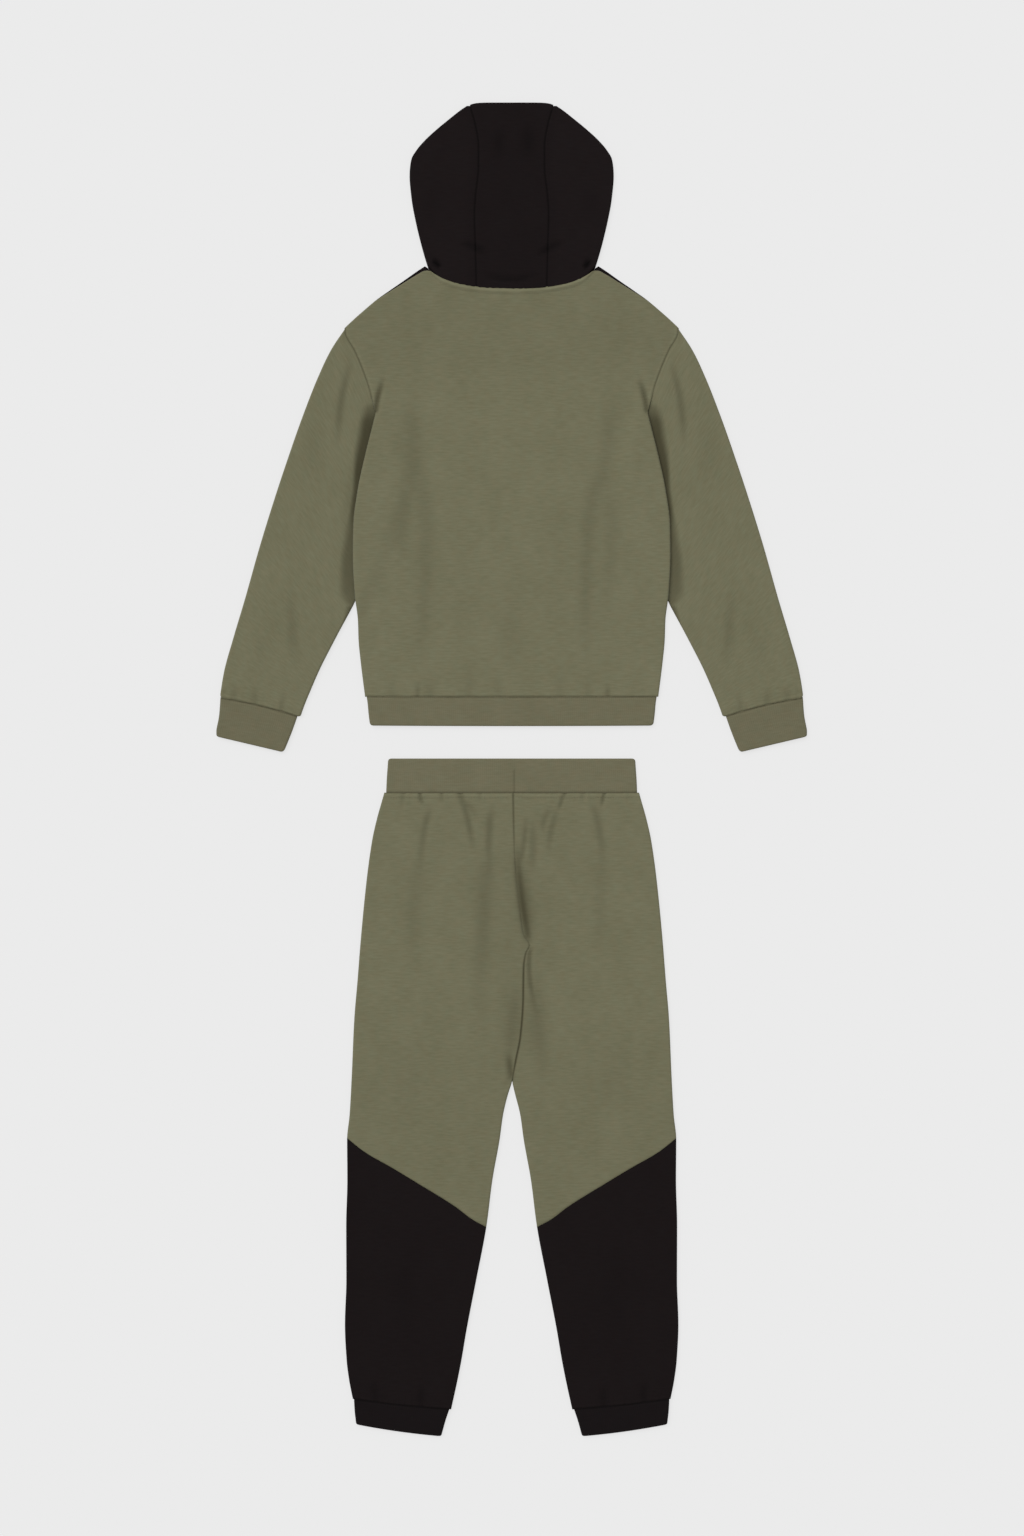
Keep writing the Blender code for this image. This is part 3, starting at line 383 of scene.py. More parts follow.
LEG_FOLDS = [
    Fold(-0.1099, -0.0288, -0.1084, -0.0370, -0.1040, -0.0467, 0.0019, -0.0024, 0.00, 0.60),
    Fold(-0.0944, -0.0400, -0.1056, -0.0852, -0.1088, -0.1428, 0.0040, -0.0013, 0.25, 0.60),
    Fold(-0.0623, -0.0288, -0.0505, -0.0680, -0.0445, -0.1087, 0.0034, -0.0017, 0.00, 0.50),
    Fold(-0.0572, -0.0408, -0.0480, -0.0480, -0.0356, -0.0660, 0.0030, -0.0011, 0.30, 0.50),
    Fold(-0.0215, -0.0420, -0.0265, -0.0850, -0.0236, -0.1428, 0.0044, -0.0016, 0.30, 0.50),
    Fold(0.0175, -0.0500, 0.0158, -0.0860, 0.0106, -0.1140, 0.0032, -0.0014, 0.40, 0.20),
    Fold(0.0264, -0.0560, 0.0264, -0.0930, 0.0264, -0.1340, 0.0050, -0.0012, 0.40, 0.40),
    Fold(0.0641, -0.0288, 0.0600, -0.0390, 0.0552, -0.0504, 0.0022, -0.0018, 0.00, 0.40),
    Fold(0.0580, -0.0430, 0.0480, -0.0760, 0.0452, -0.1110, 0.0036, -0.0012, 0.35, 0.50),
    Fold(0.0520, -0.0440, 0.0397, -0.0618, 0.0397, -0.0850, 0.0034, -0.0011, 0.35, 0.50),
    Fold(0.1112, -0.0288, 0.1091, -0.0384, 0.1057, -0.0474, 0.0019, -0.0022, 0.00, 0.60),
    Fold(0.0940, -0.0330, 0.1074, -0.0804, 0.1096, -0.1400, 0.0046, -0.0014, 0.35, 0.60),
    Fold(-0.1300, -0.0288, -0.1310, -0.0380, -0.1330, -0.0500, 0.0030, -0.0008, 0.00, 0.70),
    Fold(-0.0840, -0.0288, -0.0830, -0.0360, -0.0820, -0.0440, 0.0026, -0.0009, 0.00, 0.70),
    Fold(-0.0380, -0.0288, -0.0370, -0.0350, -0.0370, -0.0430, 0.0026, -0.0008, 0.00, 0.70),
    Fold(0.0850, -0.0288, 0.0850, -0.0360, 0.0860, -0.0450, 0.0026, -0.0008, 0.00, 0.70),
    Fold(-0.1100, -0.1000, -0.1160, -0.1800, -0.1190, -0.2700, 0.0110, -0.0010, 0.30, 0.60),
    Fold(-0.0290, -0.1050, -0.0330, -0.1900, -0.0420, -0.3600, 0.0105, -0.0015, 0.20, 0.50),
    Fold(0.0062, -0.0780, 0.0112, -0.1500, 0.0226, -0.2140, 0.0045, -0.0029, 0.36, 0.14),
    Fold(0.0130, -0.0950, 0.0165, -0.1520, 0.0250, -0.2080, 0.0080, -0.0019, 0.60, 0.30),
    Fold(0.0060, -0.0800, 0.0120, -0.2200, 0.0060, -0.3700, 0.0300, -0.0006, 0.30, 0.20),
    Fold(0.1090, -0.1000, 0.1080, -0.1700, 0.1060, -0.2400, 0.0090, -0.0009, 0.30, 0.60),
    Fold(0.0090, -0.2550, 0.0030, -0.3000, -0.0040, -0.3640, 0.0080, -0.0014, 0.40, 0.30),
    Fold(0.0232, -0.2120, 0.0226, -0.2560, 0.0345, -0.3060, 0.0026, -0.0022, 0.10, 0.60),
    Fold(-0.0030, -0.3380, -0.0022, -0.3550, 0.0000, -0.3700, 0.0036, -0.0030, 0.50, 0.10),
    Fold(0.0280, -0.2300, 0.0330, -0.3100, 0.0420, -0.4000, 0.0090, -0.0014, 0.50, 0.50),
    Fold(-0.1200, -0.3100, -0.1230, -0.3800, -0.1180, -0.4400, 0.0160, -0.0005, 0.50, 0.50),
    Fold(0.1250, -0.3000, 0.1270, -0.3700, 0.1220, -0.4300, 0.0160, -0.0005, 0.50, 0.50),
    Fold(-0.1180, -0.5500, -0.1250, -0.6300, -0.1280, -0.7100, 0.0160, -0.0007, 0.50, 0.50),
    Fold(0.1150, -0.5600, 0.1230, -0.6400, 0.1260, -0.7100, 0.0160, -0.0007, 0.50, 0.50),
    Fold(-0.1650, -0.7300, -0.1640, -0.7450, -0.1630, -0.7600, 0.0050, -0.0010, 0.60, 0.00),
    Fold(-0.1080, -0.7350, -0.1080, -0.7500, -0.1090, -0.7650, 0.0050, -0.0010, 0.60, 0.00),
    Fold(0.1600, -0.7300, 0.1590, -0.7450, 0.1600, -0.7600, 0.0050, -0.0010, 0.60, 0.00),
    Fold(0.1100, -0.7350, 0.1110, -0.7500, 0.1110, -0.7650, 0.0050, -0.0010, 0.60, 0.00),
]


def smooth(at, places, values):
    """A curve through (places, values), read at the given places, which never overshoots its points.

    Between two points it is the cubic whose end slopes are the harmonic mean of the slopes on each side.
    """
    places = np.asarray(places, float)
    values = np.asarray(values, float)
    if places[0] > places[-1]:
        places, values = places[::-1], values[::-1]
    steps = np.diff(places)
    slopes = np.diff(values) / steps
    product = slopes[:-1] * slopes[1:]
    total = slopes[:-1] + slopes[1:]
    inner = np.where(product > 0, 2 * product / np.where(total == 0, 1, total), 0)
    tangents = np.concatenate([slopes[:1], inner, slopes[-1:]])
    at = np.clip(at, places[0], places[-1])
    k = np.clip(np.searchsorted(places, at) - 1, 0, len(steps) - 1)
    t = (at - places[k]) / steps[k]
    start = (1 + 2 * t) * (1 - t) ** 2 * values[k] + t * (1 - t) ** 2 * steps[k] * tangents[k]
    end = t * t * (3 - 2 * t) * values[k + 1] - t * t * (1 - t) * steps[k] * tangents[k + 1]
    return start + end


def read(at, rows, place, value):
    """A column of a table, read along a smooth curve against another of its columns."""
    return smooth(at, [getattr(row, place) for row in rows], [getattr(row, value) for row in rows])


def ease(amount):
    """0 below 0, 1 above 1, and the S curve a * a * (3 - 2 * a) between them."""
    amount = np.clip(amount, 0, 1)
    return amount * amount * (3 - 2 * amount)


def roll(distance):
    """How far a rolled edge has dropped, from 1 at the edge to 0 one width in: a quarter of a circle."""
    inward = 1 - np.clip(distance / ROLL_WIDTH, 0, 1)
    return 1 - np.sqrt(1 - inward ** 2)


def bell(distance, width):
    """exp(-(distance / width) squared)."""
    return np.exp(-(distance / width) ** 2)


def fold_rise(row):
    """A fold's rise. A broad trough keeps only a share of it, so that its wide shade stays faint."""
    if row.rise > 0 or row.width < BROAD_TROUGH:
        return row.rise
    return round(BROAD_SHARE * row.rise, DEPTH_DIGITS)


def folds(x, y, rows):
    """The sum of soft folds at (x, y).

    Each follows the quadratic curve through its start, bend and end. Across that line it is a bell, which
    grows along it over the share start and dies over the share fade.
    """
    total = np.zeros(np.broadcast(x, y).shape)
    t = np.linspace(0, 1, FOLD_STEPS)
    for row in rows:
        weights = [(1 - t) * (1 - 2 * t), 4 * t * (1 - t), t * (2 * t - 1)]
        line_x = weights[0] * row.x + weights[1] * row.bend_x + weights[2] * row.end_x
        line_y = weights[0] * row.y + weights[1] * row.bend_y + weights[2] * row.end_y
        nearest = np.full(total.shape, np.inf)
        place = np.zeros(total.shape)
        for k in range(FOLD_STEPS - 1):
            run_x = line_x[k + 1] - line_x[k]
            run_y = line_y[k + 1] - line_y[k]
            s = ((x - line_x[k]) * run_x + (y - line_y[k]) * run_y) / (run_x ** 2 + run_y ** 2)
            s = np.clip(s, 0, 1)
            away = np.hypot(x - line_x[k] - s * run_x, y - line_y[k] - s * run_y)
            closer = away < nearest
            nearest = np.where(closer, away, nearest)
            place = np.where(closer, (k + s) / (FOLD_STEPS - 1), place)
        strength = ease((place + TINY) / (row.start + TINY)) * ease((1 - place + TINY) / (row.fade + TINY))
        total = total + fold_rise(row) * bell(nearest, row.width) * strength
    return total


def waver(x, y, height, seed):
    """Broad unevenness of cloth that lies loose: four long crossing sine waves of unlike lengths."""
    waves = sum(row.height * np.sin(row.x * x + row.y * y + row.phase * seed) for row in WAVES)
    return height / WAVES_PEAK * waves


def puckers(along, away, row):
    """Small uneven waves beside a seam: two sines along it, which swell and sink, and die away from it."""
    turns = 2 * np.pi * along / row.pitch
    waves = np.sin(turns + row.seed) + SECOND_HEIGHT * np.sin(turns / SECOND_PITCH + 3 * row.seed)
    swell = SWELL_LEVEL + SWELL_HEIGHT * np.sin(turns / SWELL_PITCH + 2 * row.seed)
    return row.height * waves * swell * bell(away, row.reach)


def seam_dip(away):
    """How far the face sinks to a seam, a bell round its line."""
    return -SEAM_DIP * bell(away, SEAM_DIP_WIDTH)


def stitch_dip(away):
    """How far a row of topstitching pulls the face down, a bell round its line."""
    return -STITCH_DIP * bell(away - STITCH_AWAY, STITCH_DIP_WIDTH)


def seam_shade_line(away):
    """The painted shade line in a seam's groove, 1 on it: a narrow bell."""
    return bell(away, SEAM_SHADE_WIDTH)


def painted_highlight(away, lip):
    """A painted highlight beside a seam, where puffed cloth catches the light: a narrow bell at its place."""
    return lip.light * bell(away - lip.away, HIGHLIGHT_WIDTH)


def darkness(troughs, line=0, lip=0):
    """The painted shade of a place, from how deep it lies in troughs and on seam lines, less the painted
    highlights beside seams.
    """
    return OPEN_SHADE + np.clip(-troughs / FULL_SHADE_DEPTH, 0, 1) + SEAM_SHADE * line - LIP_LIGHT * lip


def corner_inset(from_end, radius):
    """How far an outline draws in within one radius of its end, for a rounded corner: a quarter circle."""
    near = 1 - np.clip(from_end / radius, 0, 1)
    return radius * (1 - np.sqrt(1 - near ** 2))


def graded(length, pitch):
    """Places from 0 to length: the close rows at both ends, and evenly spaced ones between them."""
    near = EDGE_ROWS[EDGE_ROWS < length / 3]
    count = max(int(round((length - 2 * near[-1]) / pitch)), 1)
    middle = np.linspace(near[-1], length - near[-1], count + 1)[1:-1]
    return np.concatenate([near, middle, length - near[::-1]])


def hood_neck_y(x):
    """The seam between hood and back."""
    return read(np.abs(x), HOOD_NECK, "x", "y")


def front_neck_y(x):
    """The seam between hood and front."""
    return read(np.abs(x), FRONT_NECK, "x", "y")


def body_side_x(y):
    """The back's side: armhole seam, then the fold over the sleeve, then the side seam."""
    return read(y, BODY_SIDE, "y", "x")


def sleeve_line_x(y):
    """The hidden line where the sleeve begins: the armhole down to the underarm, then its inner edge."""
    armhole = np.interp(y, [UNDERARM_Y, FOLD_START_Y], [UNDERARM_X, FOLD_START_X])
    return np.where(y > UNDERARM_Y, armhole, read(y, SLEEVE, "inner_y", "inner_x"))


def armhole_x(y):
    """The whole armhole seam, which the body's fold covers at its lower end."""
    return np.where(y > FOLD_START_Y, body_side_x(y), sleeve_line_x(y))


def before_fold_end(y):
    """1 above the place where the sleeve comes out from under the body, 0 below it."""
    return ease((y - FOLD_END_Y + FOLD_FALL) / FOLD_FALL)


def back_face(x, y):
    """The upper face of the sweatshirt's back before its edges roll down, and its shade.

    It is level, dips to the armhole seam, and climbs over the hidden part of each sleeve. Folds, the neck
    and hem seams and their puckers are added.
    """
    out = np.abs(x)
    above_fold = ease((y - FOLD_START_Y) / FOLD_RISE)
    inside = body_side_x(y) - out
    dip = (BACK_TOP - SEAM_TOP) * above_fold * (1 - ease(inside / ARMHOLE_DIP_WIDTH))
    climb = ease(1 - (sleeve_line_x(y) - FOLD_LEAD - out) / FOLD_SLOPE) * (1 - above_fold)
    climb = climb * before_fold_end(y)
    level = BACK_TOP - dip + (FOLD_TOP - BACK_TOP) * climb
    neck = hood_neck_y(x) - y
    hem = y - HEM_SEAM_Y
    sewn = seam_dip(hem) + puckers(x, hem, HEM_PUCKERS) + seam_dip(inside) * above_fold
    lip = NECK_LIP * bell(neck - NECK_LIP_AWAY, NECK_LIP_WIDTH) + stitch_dip(neck)
    lip = lip + puckers(x, neck, NECK_PUCKERS)
    troughs = folds(x, y, BACK_FOLDS)
    # Painted highlights beside the neck, armhole and hem seams
    pale = painted_highlight(neck, NECK_HIGHLIGHT) + above_fold * painted_highlight(inside, ARMHOLE_HIGHLIGHT) + painted_highlight(hem, HEM_HIGHLIGHT)
    shade = darkness(troughs, seam_shade_line(hem) + above_fold * seam_shade_line(inside), pale)
    # Painted shade, darker toward the yoke
    shade = shade + YOKE_SHADE * ease((y - YOKE_SHADE_Y) / YOKE_SHADE_FADE)
    return level + troughs + waver(x, y, BACK_WAVER, BACK_SEED) + sewn + lip, shade


def back_points():
    """Rows from the neck and shoulders down to the hem. The columns spread and close with the sides."""
    half = graded(2 * SHOULDER_WIDTH, COLUMN_PITCH) / SHOULDER_WIDTH - 1
    out = np.abs(half) * SHOULDER_WIDTH
    under_hood = 1 - ease((out - NECK_LAP_END) / NECK_LAP_FADE)
    top = read(out, BACK_TOP_EDGE, "x", "y") + NECK_LAP * under_hood
    yoke_depth = BACK_TOP_EDGE[0].y - YOKE_Y
    yoke_share = graded(yoke_depth, ROW_PITCH)[:-len(EDGE_ROWS)] / yoke_depth
    yoke = top + (YOKE_Y - top) * yoke_share[:, None]
    body_depth = YOKE_Y - HEM_SEAM_Y
    levels = YOKE_Y - graded(body_depth, ROW_PITCH)[len(EDGE_ROWS):]
    lower = np.repeat(np.concatenate([[YOKE_Y], levels])[:, None], len(half), axis=1)
    lower[-1] -= HEM_SAG * (1 - half ** 2)
    y = np.vstack([yoke, lower])
    x = half * (body_side_x(y) + SEAM_LAP)
    z, shade = back_face(x, y)
    side_rim = SIDE_RIM_TOP + (FOLD_RIM_TOP - SIDE_RIM_TOP) * before_fold_end(y)
    side_roll = roll((1 - np.abs(half)) * body_side_x(y)) * (1 - ease((y - FOLD_START_Y) / ROLL_FADE))
    z = z - (z - side_rim) * side_roll
    on_shoulder = ease((out - SHOULDER_ROLL_START) / SHOULDER_ROLL_RISE)
    on_shoulder = on_shoulder * ease((SHOULDER_ROLL_END - out) / SHOULDER_ROLL_FALL)
    z = z - (z - SIDE_RIM_TOP) * roll(top - y) * on_shoulder
    return np.stack([x, y, z, shade], axis=2)


def front_side_x(y):
    """The front's side: the hidden armhole as a straight chord, the sleeve's inner edge, the side seam."""
    chord = np.interp(y, [UNDERARM_Y, FRONT_SHOULDER[-1].y], [UNDERARM_X - HIDDEN_MARGIN, SHOULDER_WIDTH])
    upper = np.where(y > UNDERARM_Y, chord, read(y, SLEEVE, "inner_y", "inner_x") - 2 * HIDDEN_MARGIN)
    return np.where(y > FOLD_END_Y, np.minimum(upper, body_side_x(y)), body_side_x(y))


def front_points():
    """Rows from the neck and shoulders down to the hem, flat on the surface."""
    half = graded(2 * SHOULDER_WIDTH, 2 * COLUMN_PITCH) / SHOULDER_WIDTH - 1
    out = np.abs(half) * SHOULDER_WIDTH
    neck = front_neck_y(out) - HIDDEN_MARGIN
    top = np.where(out < NECK_WIDTH, neck, read(out, FRONT_SHOULDER, "x", "y"))
    yoke = top + (YOKE_Y - top) * graded(1, FRONT_YOKE_STEP)[:, None]
    levels = YOKE_Y - graded(YOKE_Y - HEM_SEAM_Y, 2 * ROW_PITCH)[1:]
    y = np.vstack([yoke, np.repeat(levels[:, None], len(half), axis=1)])
    x = half * front_side_x(y)
    return np.stack([x, y, np.full_like(x, FRONT_JERSEY), np.zeros_like(x)], axis=2)


def tube_lines(rows, pitch):
    """A tube's two edges, its sag and the distance along it, at graded rows from first to last ring."""
    order = np.arange(len(rows))
    middle_x = [(row.outer_x + row.inner_x) / 2 for row in rows]
    middle_y = [(row.outer_y + row.inner_y) / 2 for row in rows]
    run = np.concatenate([[0], np.cumsum(np.hypot(np.diff(middle_x), np.diff(middle_y)))])
    along = graded(run[-1], pitch)
    at = np.interp(along, run, order)
    value = {name: smooth(at, order, [getattr(row, name) for row in rows]) for name in TubeRow._fields}
    outer = np.stack([value["outer_x"], value["outer_y"]], axis=1)
    inner = np.stack([value["inner_x"], value["inner_y"]], axis=1)
    return outer, inner, value["sag"][:, None], along[:, None]


def tube_points(rows, pitch, face, corners=Corner(TINY, TINY), bend=None):
    """Closed rings round a flattened tube: over the top from its outer to its inner edge, and back beneath.

    Both edges are rolled: the upper face drops to half its height there, and the lower face rises to meet
    it. face gives the upper face's height and shade at (x, y) and the distances from both ends. corners
    are the radii of the outline's corners at the first and the last ring. bend may move the plan.
    """
    outer, inner, sag, along = tube_lines(rows, pitch)
    span = inner - outer
    left = along[-1] - along
    inset = corner_inset(along, corners.first) + corner_inset(left, corners.last)
    inset = inset / np.linalg.norm(span, axis=1)[:, None]
    outer, inner = outer + span * inset, inner - span * inset
    span = inner - outer
    width = np.linalg.norm(span, axis=1)[:, None]
    widest = width.max()
    over = graded(widest, COLUMN_PITCH)[None, :] / widest
    under = 1 - graded(widest, HIDDEN_PITCH)[None, 1:-1] / widest
    share = np.hstack([over, under])
    x = outer[:, :1] + span[:, :1] * share
    y = outer[:, 1:] + span[:, 1:] * share - 4 * sag * share * (1 - share)
    if bend:
        x = bend(x, y, along, share)
    above = np.arange(share.shape[1]) < over.shape[1]
    height, shade = face(x, y, along, left)
    drop = TUBE_EDGE_DROP * roll(np.minimum(share, 1 - share) * width)
    z = height * np.where(above, 1 - drop, drop)
    return np.stack([x, y, z, shade * above], axis=2)


def painted_fold_shadow(x, y):
    """The painted shadow of the body's fold on a sleeve, and painted shade along the sleeve's own inner edge
    below that.

    It is even next to the edge, and falls off round a middle distance in an S curve of twice the reach.
    """
    edge = np.maximum(body_side_x(y), read(y, SLEEVE, "inner_y", "inner_x") * (y < FOLD_END_Y))
    middle = read(y, FOLD_SHADOW_ROWS, "y", "middle")
    reach = read(y, FOLD_SHADOW_ROWS, "y", "reach")
    depth = read(y, FOLD_SHADOW_ROWS, "y", "depth")
    return depth * (1 - ease((x - edge - middle + reach) / (2 * reach)))


def sleeve_face(x, y, from_armhole, from_cuff):
    """The upper face of a sleeve, and its shade. It sinks beside the body's fold, and to its two seams."""
    beside = x - body_side_x(y)
    below_armhole = ease((FOLD_START_Y - y + VALLEY_START) / VALLEY_START)
    lowest = SEAM_TOP + (VALLEY_TOP - SEAM_TOP) * below_armhole * before_fold_end(y)
    pressed = (1 - ease(beside / VALLEY_WIDTH)) * np.maximum(before_fold_end(y), 0)
    puff = CUFF_PUFF * bell(from_cuff - CUFF_PUFF_AWAY, CUFF_PUFF_WIDTH)
    puff = puff + puckers(x, from_cuff, CUFF_PUCKERS)
    troughs = folds(x, y, SLEEVE_FOLDS)
    loose = waver(x, y, LOOSE_WAVER, SLEEVE_SEED) + puff
    full = np.clip(SLEEVE_TOP + troughs + loose, LOWEST_TOP, HIGHEST_TOP)
    height = full + (lowest - full) * pressed + seam_dip(from_cuff) + seam_dip(from_armhole)
    lines = seam_shade_line(from_cuff) + seam_shade_line(from_armhole)
    shade = SLEEVE_SHADE + darkness(troughs, lines, painted_highlight(from_cuff, CUFF_HIGHLIGHT))
    return height, np.maximum(shade, painted_fold_shadow(x, y))


def sleeve_bend(x, y, along, share):
    """Moves the first rings sideways, so that the sleeve's end follows the armhole's curve."""
    return x + (armhole_x(y[:1]) - SEAM_LAP - x[:1]) * (1 - ease(along / ARMHOLE_BLEND))


def band_face(seed, seam_first=True, back_seam=False, even=0):
    """The upper face of a ribbed band, and its shade: level, sunk at its seams, rolled at its free edge.

    even is a shade all over it.
    """
    def face(x, y, from_start, from_end):
        from_seam, from_edge = (from_start, from_end) if seam_first else (from_end, from_start)
        height = BAND_TOP + waver(x, y, BAND_WAVER, seed) - BAND_END_DROP * roll(from_edge)
        height = height - BAND_SEAM_DROP * bell(from_seam, BAND_SEAM_WIDTH)
        line = seam_shade_line(from_seam - SEAM_LINE_AWAY)
        if back_seam:
            closing = ease((BACK_SEAM_TOP_Y - y) / BACK_SEAM_FADE)
            height = height + BACK_SEAM_DIP * seam_dip(x - BACK_SEAM_X) * closing
            line = line + BACK_SEAM_LINE * seam_shade_line(x - BACK_SEAM_X) * closing
        return height, OPEN_SHADE + even + SEAM_SHADE * line
    return face


def hood_face(x, y):
    """The upper face of the hood, and its shade. It sinks to the seams of its middle strip and neck."""
    strip = np.abs(x) - read(y, HOOD_SEAM, "y", "x")
    neck = y - hood_neck_y(x)
    sewn = seam_dip(strip) + HOOD_NECK_DIP * seam_dip(neck) + puckers(y, strip, HOOD_PUCKERS)
    troughs = folds(x, y, HOOD_FOLDS)
    height = HOOD_TOP + troughs + waver(x, y, LOOSE_WAVER, HOOD_SEED) + sewn
    open_side = OPEN_SHADE * ease(strip / HOOD_SEAM_TO_SIDE)
    return np.maximum(height, LOWEST_TOP), darkness(troughs, seam_shade_line(strip)) - open_side


def hood_side_points(side):
    """Rows from the crown to the neck. Each goes from the middle strip's seam over the top to the outline,
    rolls down, and comes back along the surface to the closed mouth of the hood, at the middle.
    """
    order = np.arange(len(HOOD_SIDE))
    length = HOOD_SIDE[0].y - HOOD_SIDE[-1].y
    at = np.interp(graded(length, ROW_PITCH), [HOOD_SIDE[0].y - row.y for row in HOOD_SIDE], order)
    side_y = smooth(at, order, [row.y for row in HOOD_SIDE])[:, None]
    side_x = smooth(at, order, [row.x for row in HOOD_SIDE])[:, None]
    crown_y = side_y[0, 0]
    down = (crown_y - side_y) / (crown_y - side_y[-1])
    seam_y = crown_y + (hood_neck_y(HOOD_STRIP_NECK) - crown_y) * down
    seam_x = read(seam_y, HOOD_SEAM, "y", "x") - SEAM_LAP
    full = side_x - seam_x
    over = graded(full.max(), COLUMN_PITCH)[None, :] / full.max() + 0 * full
    over_end = seam_x[-1] + (NECK_WIDTH - seam_x[-1]) * over
    over_y = crown_y + (hood_neck_y(over_end) - crown_y) * down
    beneath = side_x - HOOD_MOUTH_GAP
    under = 1 - graded(beneath.max(), HIDDEN_PITCH)[None, 1:] / beneath.max() + 0 * beneath
    under_end = HOOD_MOUTH_GAP + (NECK_WIDTH - HOOD_MOUTH_GAP) * under
    under_y = crown_y + (front_neck_y(under_end) - crown_y) * down
    x = np.hstack([seam_x + full * over, HOOD_MOUTH_GAP + beneath * under])
    y = np.hstack([over_y, under_y])
    height, shade = hood_face(side * x, y)
    above = np.arange(x.shape[1]) < over.shape[1]
    drop = TUBE_EDGE_DROP * roll(np.hstack([(1 - over) * full, (1 - under) * beneath]))
    z = height * np.where(above, 1 - drop, drop)
    return np.stack([side * x, y, z, shade * above], axis=2)


def hood_strip_points():
    """The middle strip, from the crown, where it rolls down to the surface, to the neck."""
    across = (graded(2 * HOOD_STRIP_NECK, COLUMN_PITCH) / HOOD_STRIP_NECK - 1)[None, :]
    top = HOOD_TOP_Y - HOOD_CORNER_DROP * across ** HOOD_CORNER_POWER
    end = hood_neck_y(across * HOOD_STRIP_NECK)
    length = (top - end).max()
    y = top + (end - top) * (graded(length, ROW_PITCH) / length)[:, None]
    x = across * (read(y, HOOD_SEAM, "y", "x") + SEAM_LAP)
    height, shade = hood_face(x, y)
    return np.stack([x, y, height - (height - RIM_HEIGHT) * roll(top - y), shade], axis=2)


def leg_inner_x(y, side):
    """A leg's inner edge, as a distance out from the middle: the middle seam, then the inseam."""
    rows = [Edge(row.y, side * row.x) for row in MIDDLE_SEAM] + INSEAM
    return read(y, rows, "y", "x")


def leg_outer_x(y):
    """The outer edge of both legs."""
    return read(y, LEG_OUTER, "y", "x")


def seam_across(rows, share):
    """A seam across a leg, read from its inner end to its outer end."""
    first = rows[0].x
    return read(first + (rows[-1].x - first) * share, rows, "x", "y")


def leg_face(x, y):
    """The upper face of the joggers' backs, and its shade. It sinks to waist, slanting and ankle seams."""
    out = np.abs(x)
    waist = WAIST_SEAM_Y - y
    block = (y - read(out, BLOCK_SEAM, "x", "y")) * SLANT_COSINE
    ankle = y - read(out, ANKLE_SEAM, "x", "y")
    sewn = seam_dip(waist) + stitch_dip(waist) + puckers(x, waist, WAIST_PUCKERS)
    sewn = sewn + BLOCK_DIP * seam_dip(block) + seam_dip(ankle) + puckers(x, ankle, ANKLE_PUCKERS)
    troughs = folds(x, y, LEG_FOLDS)
    line = seam_shade_line(waist) + BLOCK_LINE * seam_shade_line(block) + seam_shade_line(ankle)
    shade = darkness(troughs, line, painted_highlight(waist, WAIST_HIGHLIGHT) + painted_highlight(ankle, ANKLE_HIGHLIGHT))
    shade = shade + LEG_SHADE + LOW_LEG_SHADE * ease((LOW_LEG_Y - y) / LOW_LEG_FADE) * (block > 0)
    return BACK_TOP + troughs + waver(x, y, BACK_WAVER, LEG_SEED) + sewn, shade


def leg_surface(side, share, y):
    """A leg's back over rows of places that run from its inner to its outer edge.

    The outer edge rolls down. So does the inner edge below the crotch; above it lies beside the other leg.
    """
    inner = leg_inner_x(y[:, :1], side) - SEAM_LAP
    width = leg_outer_x(y[:, -1:]) - inner
    x = side * (inner + width * share)
    height, shade = leg_face(x, y)
    height = np.clip(height, LOWEST_TOP, HIGHEST_TOP)
    inseam = ease((CROTCH_BOTTOM_Y + INSEAM_ROLL_START - y) / INSEAM_ROLL_START)
    height = height + seam_dip(share * width) * (1 - inseam)
    # Painted shade along the middle seam
    line = read(y, MIDDLE_SEAM_SHADE, "y", "depth") * (y > CROTCH_BOTTOM_Y)
    shade = np.maximum(shade, line * bell(share * width, MIDDLE_LINE_WIDTH))
    drop = np.maximum(roll((1 - share) * width), roll(share * width) * inseam)
    return np.stack([x, y, height - (height - SIDE_RIM_TOP) * drop, shade], axis=2)


def leg_back_points(side):
    """Rows of a leg's back from the waist seam to the slanting seam above the shin."""
    share = graded(LEG_WIDTH, LEG_COLUMN_PITCH) / LEG_WIDTH
    depth = WAIST_SEAM_Y - CROTCH_BOTTOM_Y
    levels = WAIST_SEAM_Y - graded(depth, ROW_PITCH)[:-len(EDGE_ROWS)]
    level = np.repeat(levels[:, None], len(share), axis=1)
    seam = seam_across(BLOCK_SEAM, share) - SEAM_LAP
    tail = CROTCH_BOTTOM_Y - seam.min()
    down = graded(tail, ROW_PITCH)[len(EDGE_ROWS):] / tail
    slanting = CROTCH_BOTTOM_Y + (seam - CROTCH_BOTTOM_Y) * np.concatenate([[0], down])[:, None]
    return leg_surface(side, share, np.vstack([level, slanting]))


def shin_back_points(side):
    """Rows of a lower leg's back from the slanting seam to the ankle seam."""
    share = graded(LEG_WIDTH, LEG_COLUMN_PITCH) / LEG_WIDTH
    start = seam_across(BLOCK_SEAM, share) + SEAM_LAP
    end = seam_across(ANKLE_SEAM, share) - SEAM_LAP
    length = (start - end).max()
    return leg_surface(side, share, start + (end - start) * (graded(length, ROW_PITCH) / length)[:, None])


